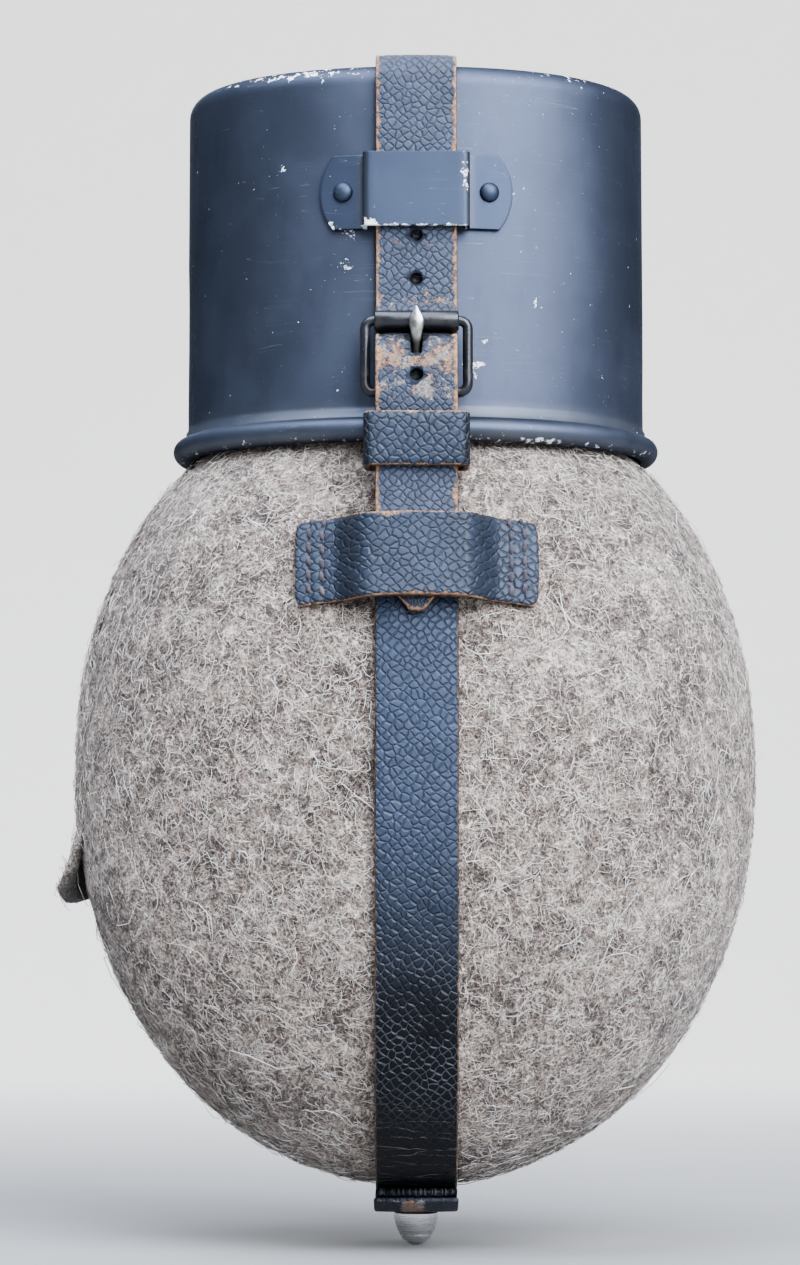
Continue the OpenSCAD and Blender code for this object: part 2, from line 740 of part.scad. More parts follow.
module snap_hook() {
    foot = ring_top_z + 2.1;
    color("silver") translate([0, hook_y, 0]) {
        difference() {
            rotate([90, 0, 0]) linear_extrude(hook_t, center = true) difference() {
                union() {
                    eye_outline(eye_r + hook_wall);
                    translate([-4, foot]) square([8, 4]);
                }
                eye_outline(eye_r);
                // Way in, which the gate closes
                translate([0, gate_low + 2.2]) square([20, gate_high + 0.3 - gate_low - 2.2]);
            }
            // Fork that the gate's heel turns in
            translate([gate_x + 0.4, 0, gate_low + 0.9]) cube([7, 2.9, 8.4], center = true);
            translate([gate_x, 0, gate_low]) y_bar(pin_r, 10);
        }
        // Swivel post, headed under the ring's boss
        translate([0, 0, ring_top_z - 3]) cylinder(r = 2, h = foot + 1 - ring_top_z + 3);
        translate([0, 0, ring_top_z - 3.4]) cylinder(r = 3.2, h = 1.4);
    }
}

module hook_gate() {
    color("gainsboro") translate([0, hook_y, 0]) difference() {
        rotate([90, 0, 0]) linear_extrude(2.5, center = true) {
            translate([gate_x, gate_low]) circle(1.8);
            polygon([
                [gate_x - 1.8, gate_low], [gate_x + 1.8, gate_low], [gate_x + 1.9, gate_low + 5],
                [gate_x + 1.6, gate_high], [gate_x - 1.6, gate_high], [gate_x - 1.7, gate_low + 5]
            ]);
        }
        translate([gate_x, 0, gate_low]) y_bar(pin_r + 0.05, 10);
    }
}

module gate_pin() {
    color("gray") translate([gate_x, hook_y, gate_low]) y_bar(pin_r, hook_t + 0.4);
}

// Leaf that pushes the gate shut from inside the eye
module gate_spring() {
    root = [3.2, hook_low - 6.55];
    route = [root, [4.9, hook_low - 4.3], [6.6, hook_low - 0.6], [7.2, hook_low + 3], [7.3, hook_low + 7]];
    color("lightsteelblue") translate([0, hook_y, 0]) rotate([0, 0, -90]) strip(route, 0.4, 2);
}

bottle_shell();
felt_front();
felt_back();
felt_flap();
press_stud_caps();
press_stud_sockets();
cup_shell();
front_bracket();
back_bracket();
front_rivets();
back_rivets();
screw_cap();
cap_gasket();
cap_tether();
tether_rivet();
long_strap();
strap_end_pad();
buckle_strap();
front_loop();
back_loop();
base_stud();
buckle_frame();
buckle_roller();
buckle_prong();
strap_keeper();
hanger_strap();
hanger_rivets();
hanger_ring();
snap_hook();
hook_gate();
gate_pin();
gate_spring();
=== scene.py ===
"""Looks of a felt-covered field canteen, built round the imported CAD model.

Sizes are in millimetres until a mesh is made.
"""

import math

import bmesh
import bpy
import numpy as np
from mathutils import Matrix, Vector, noise


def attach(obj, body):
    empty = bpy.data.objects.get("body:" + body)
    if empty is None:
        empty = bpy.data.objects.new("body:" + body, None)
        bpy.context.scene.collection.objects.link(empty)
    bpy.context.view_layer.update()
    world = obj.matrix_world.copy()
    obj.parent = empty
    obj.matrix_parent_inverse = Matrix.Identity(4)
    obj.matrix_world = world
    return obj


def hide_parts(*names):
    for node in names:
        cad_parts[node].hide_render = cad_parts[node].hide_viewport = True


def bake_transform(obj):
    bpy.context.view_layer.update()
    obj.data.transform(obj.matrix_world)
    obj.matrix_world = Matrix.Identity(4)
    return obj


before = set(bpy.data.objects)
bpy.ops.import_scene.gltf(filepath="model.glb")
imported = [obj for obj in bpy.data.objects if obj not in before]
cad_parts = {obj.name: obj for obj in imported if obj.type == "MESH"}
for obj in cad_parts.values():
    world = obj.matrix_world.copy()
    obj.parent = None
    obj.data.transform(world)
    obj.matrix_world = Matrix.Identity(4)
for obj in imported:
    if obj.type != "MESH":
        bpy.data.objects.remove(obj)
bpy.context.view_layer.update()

MM = 0.001
RNG = np.random.default_rng(31)

# The body: superellipses above and below its widest level, as in the CAD
HALF_W, FRONT, BACK, Z_WIDE, UP, LOW = 68.5, 44.0, 40.0, 94.0, 80.0, 81.8
UP_N, LOW_N, PLAN_N = (2.2, 2.4), (2.05, 2.6), (2.2, 2.5)
FELT_T, FELT_TOP, FELT_FOOT = 3.0, 69.5, -87.0

# The cup
CUP_HALF, CUP_DEEP, CUP_N = 46.75, 32.5, 2.1
RIM, CUP_TOP, BEAD_H, BEAD_OUT, CUP_WALL, CORNER = 157.7, 233.5, 4.6, 2.9, 0.9, 4.0
BRACKET_Z, BRACKET_H, BRACKET_W, RIVET_X = 207.2, 14.8, 37.6, 14.4

# The straps and the buckle
STRAP_W, STRAP_T, PLY, LAY = 16.0, 1.8, 2.0, 1.2
BAR = (-38.6, 166.2)
ROLLER = (-38.6, 180.3)
STACK = 38.2
LOOP_Z, LOOP_H, LOOP_W = 134.0, 17.2, 46.6

# ---------- meshes ----------


def add_object(name, verts, faces, material, body, node=None, smooth=True):
    """Makes a mesh object from points in millimetres that rides on a CAD body and stands for CAD nodes."""
    mesh = bpy.data.meshes.new(name)
    mesh.from_pydata([tuple(p) for p in np.asarray(verts, float) * MM], [], faces)
    mesh.validate()
    mesh.update()
    obj = bpy.data.objects.new(name, mesh)
    bpy.context.scene.collection.objects.link(obj)
    mesh.materials.append(material)
    if smooth:
        mesh.shade_smooth()
    if body:
        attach(obj, body)
    for n in [node] if isinstance(node, str) else node or []:
        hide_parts(n)
    return obj


def store(obj, name, values):
    """Keeps one number for each vertex, which the materials read."""
    layer = obj.data.attributes.get(name) or obj.data.attributes.new(name, "FLOAT", "POINT")
    layer.data.foreach_set("value", np.array(values, np.float32))


def outward(obj):
    """Turns every face outward, so that a closed mesh has one clear inside."""
    bm = bmesh.new()
    bm.from_mesh(obj.data)
    bmesh.ops.recalc_face_normals(bm, faces=bm.faces)
    bm.to_mesh(obj.data)
    bm.free()
    return obj


def modify(obj, kind, **settings):
    """Adds a modifier and applies it, keeping the object's name and place."""
    modifier = obj.modifiers.new(kind.lower(), kind)
    for key, value in settings.items():
        setattr(modifier, key, value)
    bpy.context.view_layer.update()
    evaluated = obj.evaluated_get(bpy.context.evaluated_depsgraph_get())
    mesh = bpy.data.meshes.new_from_object(evaluated)
    obj.modifiers.clear()
    old = obj.data
    obj.data = mesh
    bpy.data.meshes.remove(old)
    return obj


def round_edges(obj, width, segments=2, angle=40):
    modify(
        obj, "BEVEL", width=width * MM, segments=segments, limit_method="ANGLE",
        angle_limit=math.radians(angle)
    )
    obj.data.shade_smooth()
    return obj


def loft(rings, endless=False):
    """Points and faces through rings of equal count; an endless tube's last ring joins its first."""
    rows, cols = len(rings), len(rings[0])
    faces = []
    for r in range(rows if endless else rows - 1):
        here, after = r * cols, (r + 1) % rows * cols
        faces += [(here + c, here + (c + 1) % cols, after + (c + 1) % cols, after + c) for c in range(cols)]
    if not endless:
        faces.append(tuple(reversed(range(cols))))
        faces.append(tuple((rows - 1) * cols + c for c in range(cols)))
    return np.concatenate([np.asarray(r, float) for r in rings]), faces


def shell(outer, inner):
    """Closed solid between two grids of points of the same size."""
    rows, cols = outer.shape[:2]
    at = lambda r, c, side: side * rows * cols + r * cols + c
    faces = []
    for r in range(rows - 1):
        for c in range(cols - 1):
            faces.append((at(r, c, 0), at(r, c + 1, 0), at(r + 1, c + 1, 0), at(r + 1, c, 0)))
            faces.append((at(r, c, 1), at(r + 1, c, 1), at(r + 1, c + 1, 1), at(r, c + 1, 1)))
    for c in range(cols - 1):
        faces.append((at(0, c, 0), at(0, c, 1), at(0, c + 1, 1), at(0, c + 1, 0)))
        faces.append((at(rows - 1, c, 0), at(rows - 1, c + 1, 0), at(rows - 1, c + 1, 1), at(rows - 1, c, 1)))
    for r in range(rows - 1):
        faces.append((at(r, 0, 0), at(r + 1, 0, 0), at(r + 1, 0, 1), at(r, 0, 1)))
        faces.append((at(r, cols - 1, 0), at(r, cols - 1, 1), at(r + 1, cols - 1, 1), at(r + 1, cols - 1, 0)))
    return np.concatenate([outer.reshape(-1, 3), inner.reshape(-1, 3)]), faces


def unit(vectors):
    return vectors / np.maximum(np.linalg.norm(vectors, axis=-1, keepdims=True), 1e-9)


def grid_normals(points):
    return unit(np.cross(np.gradient(points, axis=0), np.gradient(points, axis=1)))


def full_turn(count):
    return np.linspace(0, 2 * math.pi, count, endpoint=False)


def bell(distance, reach):
    """1 at no distance, falling smoothly to nearly 0 at twice the reach."""
    return np.exp(-((distance / reach) ** 2))


def run_along(points):
    """Length of the line up to each of its points."""
    return np.concatenate([[0], np.cumsum(np.linalg.norm(np.diff(points, axis=0), axis=1))])


def at_runs(points, runs):
    """Points of the line at the given lengths along it."""
    return np.column_stack([np.interp(runs, run_along(points), column) for column in points.T])


def lumps(points, size, depth=3, seed=0.0):
    """Smooth noise from about -1 to 1 at each point; size is the width of its lumps in millimetres."""
    flat = points.reshape(-1, 3) / size + seed
    values = [noise.fractal(Vector(p), 1.0, 2.0, depth) for p in flat]
    return np.array(values).reshape(points.shape[:-1])


def points_of(obj):
    return np.array([v.co for v in obj.data.vertices]) / MM


def tubes(name, lines, radius, body):
    """Short threads with tapered ends, each a [points, outward direction] pair."""
    verts, faces = [], []
    for line, up in lines:
        ahead = unit(np.gradient(line, axis=0))
        rings = []
        for i, p in enumerate(line):
            side = np.cross(ahead[i], up)
            side /= np.linalg.norm(side)
            thick = radius * (1 - 0.75 * abs(2 * i / (len(line) - 1) - 1) ** 4)
            rings.append([p + thick * (side * math.cos(a) + up * math.sin(a)) for a in full_turn(8)])
        v, f = loft(rings)
        faces += [tuple(i + len(verts) for i in face) for face in f]
        verts += [tuple(p) for p in v]
    return outward(add_object(name, verts, faces, THREAD, body))


def smooth_route(points, step):
    """Points every step along a smooth curve through the route's own points."""
    p = np.asarray(points, float)
    p = np.vstack([2 * p[0] - p[1], p, 2 * p[-1] - p[-2]])
    out = []
    for a, b, c, d in zip(p[:-3], p[1:-2], p[2:-1], p[3:]):
        knots = np.cumsum([0] + [max(np.linalg.norm(v), 1e-6) ** 0.5 for v in (b - a, c - b, d - c)])
        for t in np.linspace(knots[1], knots[2], 12, endpoint=False):
            mix = lambda q, r, s, e: ((e - t) * q + (t - s) * r) / (e - s)
            ab, bc, cd = (
                mix(a, b, knots[0], knots[1]), mix(b, c, knots[1], knots[2]), mix(c, d, knots[2], knots[3])
            )
            out.append(
                mix(mix(ab, bc, knots[0], knots[2]), mix(bc, cd, knots[1], knots[3]), knots[1], knots[2])
            )
    out.append(p[-2])
    out = np.array(out)
    total = run_along(out)[-1]
    return at_runs(out, np.linspace(0, total, max(int(total / step), 4)))


def arc(centre, r, start, stop, step):
    """Points on an arc, with its angles in degrees."""
    count = int(round((stop - start) / step)) + 1
    angles = np.radians(np.linspace(start, stop, count))
    return [[centre[0] + r * math.cos(a), centre[1] + r * math.sin(a)] for a in angles]


# ---------- the body's surface ----------


def share(phi, n):
    """Half width of a superellipse at a latitude, as a share of its widest."""
    return (1 - np.abs(np.sin(phi)) ** n) ** (1 / n)


def body_point(phi, theta, out=0.0):
    """Point of the body at a latitude and bearing in degrees, moved out."""
    phi, theta = np.broadcast_arrays(np.radians(phi), np.radians(theta))
    high, back = phi > 0, np.sin(theta) > 0
    wide = (HALF_W + out) * np.where(high, share(phi, UP_N[0]), share(phi, LOW_N[0]))
    deep = (np.where(back, BACK, FRONT) + out) * np.where(high, share(phi, UP_N[1]), share(phi, LOW_N[1]))
    n = np.where(back, PLAN_N[1], PLAN_N[0])
    x = wide * np.sign(np.cos(theta)) * np.abs(np.cos(theta)) ** (2 / n)
    y = deep * np.sign(np.sin(theta)) * np.abs(np.sin(theta)) ** (2 / n)
    z = Z_WIDE + (np.where(high, UP, LOW) + out) * np.sin(phi)
    return np.stack([x, y, z], -1)


def mid_point(phi, side, out):
    """Point [y, z] of the body's section on its plane of symmetry."""
    p = body_point(phi, 90 * side, out)
    return [float(p[1]), float(p[2])]


def belly(side, start, stop, step, out):
    """Points [y, z] down that section, moved out, from one latitude to another."""
    count = int(round(abs(stop - start) / step)) + 1
    return [mid_point(phi, side, out) for phi in np.linspace(start, stop, count)]


def felt_depth(x, z, side):
    """How far the felt stands from the neck's axis at a place, front (-1) or back (1)."""
    high = z > Z_WIDE
    phi = np.arcsin(np.clip((z - Z_WIDE) / np.where(high, UP, LOW), -1, 1))
    wide = HALF_W * np.where(high, share(phi, UP_N[0]), share(phi, LOW_N[0]))
    deep = (FRONT if side < 0 else BACK) * np.where(high, share(phi, UP_N[1]), share(phi, LOW_N[1]))
    n = PLAN_N[0] if side < 0 else PLAN_N[1]
    return deep * np.maximum(1 - (np.abs(x) / wide) ** n, 0) ** (1 / n)


# ---------- materials ----------


class Shader:
    """Builds a node material piece by piece; values are numbers, colours or other nodes' sockets."""

    def __init__(self, name):
        self.material = bpy.data.materials.new(name)
        self.material.use_nodes = True
        self.tree = self.material.node_tree
        self.tree.nodes.clear()

    def add(self, kind, inputs, output=0, **settings):
        node = self.tree.nodes.new("ShaderNode" + kind)
        for key, value in settings.items():
            setattr(node, key, value)
        for key, value in inputs.items():
            self.feed(node.inputs[key], value)
        return node.outputs[output] if len(node.outputs) else None

    def feed(self, socket, value):
        if isinstance(value, bpy.types.NodeSocket):
            self.tree.links.new(value, socket)
        elif isinstance(value, tuple) and len(value) == 3 and len(socket.default_value) == 4:
            socket.default_value = (*value, 1)
        else:
            socket.default_value = value

    def place(self):
        return self.add("TexCoord", {}, output="Object")

    def mark(self, name):
        return self.add("Attribute", {}, output="Fac", attribute_name=name)

    def turned(self, vector, turn, scale):
        return self.add("Mapping", {"Vector": vector, "Rotation": turn, "Scale": scale})

    def noise(self, vector, size, detail=3.0, rough=0.55, warp=0.0):
        """size is the width of the noise's lumps in millimetres."""
        settings = {
            "Vector": vector, "Scale": 1 / (size * MM), "Detail": detail, "Roughness": rough,
            "Distortion": warp
        }
        return self.add("TexNoise", settings)

    def math(self, operation, a, b=0.0, clamp=False):
        return self.add("Math", {0: a, 1: b}, operation=operation, use_clamp=clamp)

    def plus(self, a, b, clamp=False):
        return self.math("ADD", a, b, clamp)

    def minus(self, a, b):
        return self.math("SUBTRACT", a, b)

    def times(self, a, b):
        return self.math("MULTIPLY", a, b)

    def highest(self, a, b):
        return self.math("MAXIMUM", a, b)

    def span(self, value, low, high, to_low=0.0, to_high=1.0):
        settings = {"Value": value, "From Min": low, "From Max": high, "To Min": to_low, "To Max": to_high}
        return self.add("MapRange", settings, interpolation_type="SMOOTHSTEP")

    def ramp(self, fac, *stops):
        node = self.tree.nodes.new("ShaderNodeValToRGB")
        elements = node.color_ramp.elements
        while len(elements) < len(stops):
            elements.new(0.5)
        for element, (place, colour) in zip(elements, stops):
            element.position = place
            element.color = (*colour, 1)
        self.feed(node.inputs[0], fac)
        return node.outputs[0]

    def mix(self, fac, a, b, blend="MIX"):
        return self.add("Mix", {0: fac, 6: a, 7: b}, output=2, data_type="RGBA", blend_type=blend)

    def bump(self, height, depth, strength=1.0, normal=None):
        """depth is the height in millimetres that the height value 1 stands for."""
        inputs = {"Height": height, "Distance": depth * MM, "Strength": strength}
        if normal is not None:
            inputs["Normal"] = normal
        return self.add("Bump", inputs)

    def finish(self, **inputs):
        names = {key.replace("_", " "): value for key, value in inputs.items()}
        surface = self.add("BsdfPrincipled", names)
        self.add("OutputMaterial", {"Surface": surface})
        return self.material


def felt_material():
    """Wool felt: a mottled ground under many layers of fine curled fibres."""
    s = Shader("wool_felt")
    place = s.place()
    patches = s.noise(place, 12.0, 3.0, 0.6)
    clumps = s.noise(place, 3.2, 4.0, 0.65)
    specks = s.noise(place, 0.55, 2.0, 0.6)
    tone = s.plus(s.times(clumps, 0.5), s.times(specks, 0.5))
    tone = s.plus(tone, s.times(s.minus(patches, 0.5), 0.30))
    colour = s.ramp(
        tone, (0.38, (0.050, 0.039, 0.034)), (
            0.475, (0.165, 0.132, 0.112)
        ), (0.55, (0.330, 0.276, 0.236)), (0.64, (0.600, 0.520, 0.450))
    )
    open_wool = s.span(tone, 0.38, 0.58, 0.15, 1.0)
    height = specks
    layers = (
        ((0.3, 0.2, 0.4), (900.0, 420.0, 900.0), (0.060, 0.044, 0.037), 0.75, 0.055),
        ((1.1, 0.5, 1.7), (420.0, 820.0, 820.0), (0.330, 0.245, 0.195), 0.65, 0.070),
        ((0.2, 1.3, 2.6), (760.0, 760.0, 380.0), (0.640, 0.540, 0.450), 0.70, 0.055),
        ((2.0, 0.4, 0.9), (640.0, 330.0, 700.0), (0.080, 0.060, 0.052), 0.70, 0.040),
        ((0.8, 0.9, 0.1), (380.0, 700.0, 640.0), (0.800, 0.700, 0.600), 0.75, 0.045),
        ((1.6, 1.9, 0.7), (620.0, 600.0, 300.0), (0.900, 0.820, 0.730), 0.80, 0.030),
    )
    for turn, scale, shade, cover, width in layers:
        field = s.add(
            "TexNoise",
            {"Vector": s.turned(place, turn, scale), "Scale": 1.0, "Detail": 0.6, "Distortion": 0.5}
        )
        strand = s.span(s.math("ABSOLUTE", s.minus(field, 0.5)), 0.0, width, 1.0, 0.0)
        shown = s.times(strand, open_wool) if shade[0] > 0.3 else strand
        colour = s.mix(s.times(shown, cover), colour, shade)
        height = s.highest(height, s.times(strand, 0.4 + sum(shade) / 5))
    # Painted shade where a piece is marked for it, as on the flap's curled end and inner face.
    under = s.mark("shade")
    colour = s.mix(under, colour, (0.030, 0.026, 0.024))
    normal = s.bump(height, 0.65, 1.0, s.bump(clumps, 1.0, 0.8))
    return s.finish(
        Base_Color=colour, Roughness=0.95, Normal=normal, Sheen_Weight=0.25, Sheen_Roughness=0.5,
        Specular_IOR_Level=0.12
    )


def fibre_material():
    s = Shader("wool_fibre")
    tone = s.mark("tone")
    colour = s.ramp(
        tone, (0.0, (0.050, 0.038, 0.032)), (0.3, (0.27, 0.205, 0.165)), (0.6, (0.56, 0.47, 0.39)),
        (1.0, (0.96, 0.93, 0.89))
    )
    tint = s.mix(s.times(s.noise(s.place(), 4.0), 0.4), colour, (0.42, 0.36, 0.30))
    return s.finish(Base_Color=tint, Roughness=0.7, Specular_IOR_Level=0.3, Sheen_Weight=0.2)


def leather_material(name, gloss, pebble, face, groove_shade, worn=0.5, relief=0.16, even=0.55):
    """Pebbled leather: domes between grooves darkened by painted shade, with the hide showing where it has
    rubbed.

    The piece's marks give the place on the hide, the distance from an edge, wear, cracks and painted shade.
    """
    s = Shader(name)
    place = s.place()
    flat = s.add("CombineXYZ", {0: s.mark("along"), 1: s.mark("across")})
    drift = s.add("TexNoise", {"Vector": flat, "Scale": 0.35, "Detail": 1.0}, output=1, noise_dimensions="2D")
    bent = s.add(
        "VectorMath", {0: flat, 1: s.add("VectorMath", {0: drift, 3: 1.1}, operation="SCALE")},
        operation="ADD"
    )
    staggered = s.turned(bent, (0.0, 0.0, math.pi / 4), (1.0, 1.0, 1.0))
    cell = {"Vector": staggered, "Scale": 1 / pebble, "Randomness": even}
    gap = s.add("TexVoronoi", cell, output="Distance", feature="DISTANCE_TO_EDGE", voronoi_dimensions="2D")
    one = s.add("TexVoronoi", cell, output="Color", feature="F1", voronoi_dimensions="2D")
    dome = s.span(gap, 0.0, 0.24)
    line = s.span(gap, 0.02, 0.115, 1.0, 0.0)
    patches = s.noise(place, 11.0, 4.0, 0.6)
    fine = s.noise(place, 0.4, 4.0, 0.7)
    smudge = s.noise(place, 4.5, 5.0, 0.65)
    base = s.mix(s.times(s.add("SeparateColor", {0: one}), 0.5), face, tuple(v * 1.45 for v in face))
    base = s.mix(s.times(s.span(smudge, 0.42, 0.7), 0.35), base, tuple(v * 0.45 for v in face))
    # Painted shade: the grooves between the pebbles are darkened, more in some patches than others.
    base = s.mix(s.times(line, s.span(patches, 0.25, 0.6, 0.35, 0.95)), base, groove_shade)
    # Painted shade: where this mark is high the leather is darkened nearly to black.
    dark = s.mark("dark")
    base = s.mix(dark, base, (0.0030, 0.0034, 0.0050))
    pale_net = s.times(s.times(line, dark), s.span(patches, 0.3, 0.6))
    base = s.mix(s.times(pale_net, s.minus(1.0, s.mark("cracked"))), base, (0.060, 0.067, 0.080))
    hide = s.ramp(
        s.noise(place, 0.8, 4.0, 0.75), (0.32, (0.070, 0.045, 0.036)), (0.48, (0.270, 0.165, 0.105)),
        (0.66, (0.520, 0.300, 0.165))
    )
    grey_hide = s.ramp(
        s.noise(place, 0.7, 4.0, 0.75), (0.34, (0.085, 0.080, 0.088)), (0.5, (0.250, 0.225, 0.215)),
        (0.68, (0.470, 0.400, 0.340))
    )
    edge = s.mark("edge")
    ragged = s.plus(s.times(s.noise(place, 1.9, 5.0, 0.7), 3.6), -1.75 + worn)
    rub = s.span(s.minus(edge, ragged), -0.25, 0.25, 1.0, 0.0)
    patch = s.span(s.minus(s.noise(place, 1.3, 5.0, 0.75), s.mark("wear")), -0.05, 0.05, 1.0, 0.0)
    cut = s.span(edge, -0.45, -0.2, 1.0, 0.0)
    cut_tone = s.ramp(
        s.noise(place, 1.2, 4.0, 0.7), (0.38, (0.030, 0.024, 0.022)), (0.56, (0.110, 0.072, 0.050)),
        (0.74, (0.420, 0.250, 0.130))
    )
    colour = s.mix(s.times(patch, 0.85), base, s.mix(s.span(smudge, 0.46, 0.56), grey_hide, hide))
    colour = s.mix(s.times(rub, 0.95), colour, hide)
    colour = s.mix(cut, colour, cut_tone)
    bare = s.highest(s.highest(rub, patch), cut)
    crease = s.add(
        "TexVoronoi",
        {"Vector": s.turned(bent, (0.0, 0.0, 0.0), (0.42, 0.05, 1.0)), "Scale": 1.0, "Randomness": 1.0},
        output="Distance", feature="DISTANCE_TO_EDGE", voronoi_dimensions="2D"
    )
    crack = s.times(s.span(crease, 0.0, 0.045, 1.0, 0.0), s.mark("cracked"))
    colour = s.mix(s.times(crack, s.span(smudge, 0.4, 0.6)), colour, (0.115, 0.095, 0.085))
    smooth = s.minus(1.0, s.times(s.highest(bare, s.mark("cracked")), 0.8))
    height = s.minus(s.times(dome, smooth), s.times(crack, 0.8))
    normal = s.bump(height, relief, 1.0, s.bump(fine, 0.045, 0.8))
    rough = s.plus(s.times(s.minus(fine, 0.5), 0.3), 1 - gloss)
    rough = s.plus(rough, s.times(bare, 0.3), clamp=True)
    return s.finish(Base_Color=colour, Roughness=rough, Normal=normal, Specular_IOR_Level=0.28)


def lacquer_material(name, paint, metal=(0.80, 0.82, 0.80)):
    """Satin lacquer with chips down to bright metal where the mark is high, plus scattered fine scratches."""
    s = Shader(name)
    place = s.place()
    cloud = s.noise(place, 26.0, 4.0, 0.55)
    grain = s.noise(place, 0.35, 3.0, 0.6)
    smear = s.noise(s.turned(place, (0.0, 0.0, 0.3), (1.0, 1.0, 0.35)), 7.0, 5.0, 0.6)
    base = s.mix(s.span(cloud, 0.36, 0.64), paint, tuple(v * 1.22 for v in paint))
    base = s.mix(s.times(s.span(smear, 0.50, 0.75), 0.30), base, tuple(v * 0.72 for v in paint))
    base = s.mix(s.mark("dust"), base, (0.16, 0.165, 0.165))
    specks = s.span(s.noise(place, 0.8, 2.0, 0.5), 0.735, 0.76)
    base = s.mix(s.times(specks, 0.35), base, (0.30, 0.32, 0.34))
    lines = None
    for turn, seed in (((0.2, 0.6, 0.3), 0.0), ((0.5, -0.9, 0.2), 3.0)):
        thread = s.add(
            "TexNoise",
            {"Vector": s.turned(place, turn, (26.0, 26.0, 700.0)), "Scale": 1.0 + seed * 0.1, "Detail": 0.0}
        )
        line = s.span(s.math("ABSOLUTE", s.minus(thread, 0.66)), 0.0, 0.004, 1.0, 0.0)
        lines = line if lines is None else s.highest(lines, line)
    lines = s.times(lines, s.span(s.noise(place, 6.0, 2.0), 0.5, 0.6))
    mark = s.mark("chip")
    bare = s.span(s.minus(s.noise(place, 1.5, 5.0, 0.72), mark), -0.012, 0.006, 1.0, 0.0)
    colour = s.mix(s.times(lines, 0.4), base, (0.34, 0.37, 0.40))
    colour = s.mix(bare, colour, metal)
    rough = s.span(grain, 0.2, 0.8, 0.46, 0.54)
    rough = s.plus(rough, s.times(s.span(cloud, 0.4, 0.7), 0.07))
    height = s.minus(s.times(grain, 0.25), bare)
    normal = s.bump(height, 0.035, 1.0)
    return s.finish(
        Base_Color=colour, Roughness=rough, Metallic=s.minus(0.88, s.times(bare, 0.85)), Normal=normal,
        Specular_Tint=(0.16, 0.17, 0.17)
    )


def metal_material(
    name, colour, rough, brushed=(1.0, 1.0, 1.0), dirt=(0.10, 0.08, 0.06), soiled=0.25, relief=0.02
):
    """Bare metal with fine lines along one direction, dull patches, dirt in the hollows of its grain, and
    painted shade where a piece is marked for it.
    """
    s = Shader(name)
    place = s.place()
    lines = s.add(
        "TexNoise",
        {
            "Vector": s.turned(place, (0.0, 0.0, 0.0), tuple(v * 900.0 for v in brushed)), "Scale": 1.0,
            "Detail": 3.0
        }
    )
    patches = s.noise(place, 5.0, 5.0, 0.6)
    tone = s.mix(s.span(lines, 0.3, 0.7), tuple(v * 0.78 for v in colour), colour)
    tone = s.mix(s.times(s.span(patches, 0.5, 0.72), soiled), tone, dirt)
    # Painted shade where a piece's mark asks for it.
    tone = s.mix(s.mark("metal_painted_shade"), tone, (0.030, 0.027, 0.025))
    roughness = s.plus(
        s.span(lines, 0.3, 0.7, rough - 0.06, rough + 0.06), s.times(s.span(patches, 0.45, 0.7), 0.18)
    )
    return s.finish(Base_Color=tone, Roughness=roughness, Metallic=1.0, Normal=s.bump(lines, relief, 0.8))


def enamel_material(name, colour, worn_metal=(0.34, 0.33, 0.32), amount=0.5):
    """Black enamel on wire, with a brown-grey bloom and metal showing through in spots."""
    s = Shader(name)
    place = s.place()
    spots = s.span(s.noise(place, 1.3, 5.0, 0.7), 0.72 - amount * 0.16, 0.76 - amount * 0.16)
    bloom = s.span(s.noise(place, 3.0, 4.0, 0.6), 0.5, 0.75)
    base = s.mix(s.times(bloom, 0.35), colour, (0.075, 0.060, 0.050))
    tone = s.mix(s.times(spots, 0.75), base, worn_metal)
    rough = s.plus(s.times(bloom, 0.25), 0.30)
    height = s.noise(place, 0.6, 3.0)
    return s.finish(
        Base_Color=tone, Roughness=rough, Metallic=s.times(spots, 0.9), Normal=s.bump(height, 0.05, 0.8),
        Coat_Weight=0.2, Coat_Roughness=0.2
    )


def thread_material():
    s = Shader("waxed_thread")
    place = s.place()
    twist = s.noise(s.turned(place, (0.5, 0.3, 0.0), (1.0, 1.0, 0.4)), 0.3, 3.0)
    tone = s.ramp(
        s.noise(place, 2.0, 4.0, 0.7), (0.35, (0.036, 0.028, 0.036)), (0.6, (0.085, 0.066, 0.078)),
        (0.8, (0.17, 0.14, 0.14))
    )
    return s.finish(Base_Color=tone, Roughness=0.75, Normal=s.bump(twist, 0.12), Sheen_Weight=0.2)


def plain_material(name, colour, rough, grain_size, relief):
    """Smooth leather, rubber or a studio surface with a soft mottling."""
    s = Shader(name)
    place = s.place()
    grain = s.noise(place, grain_size, 5.0, 0.6)
    tone = s.mix(s.span(grain, 0.3, 0.7), tuple(v * 0.88 for v in colour), colour)
    return s.finish(
        Base_Color=tone, Roughness=s.span(grain, 0.3, 0.7, rough - 0.05, rough + 0.05),
        Normal=s.bump(grain, relief, 0.6)
    )


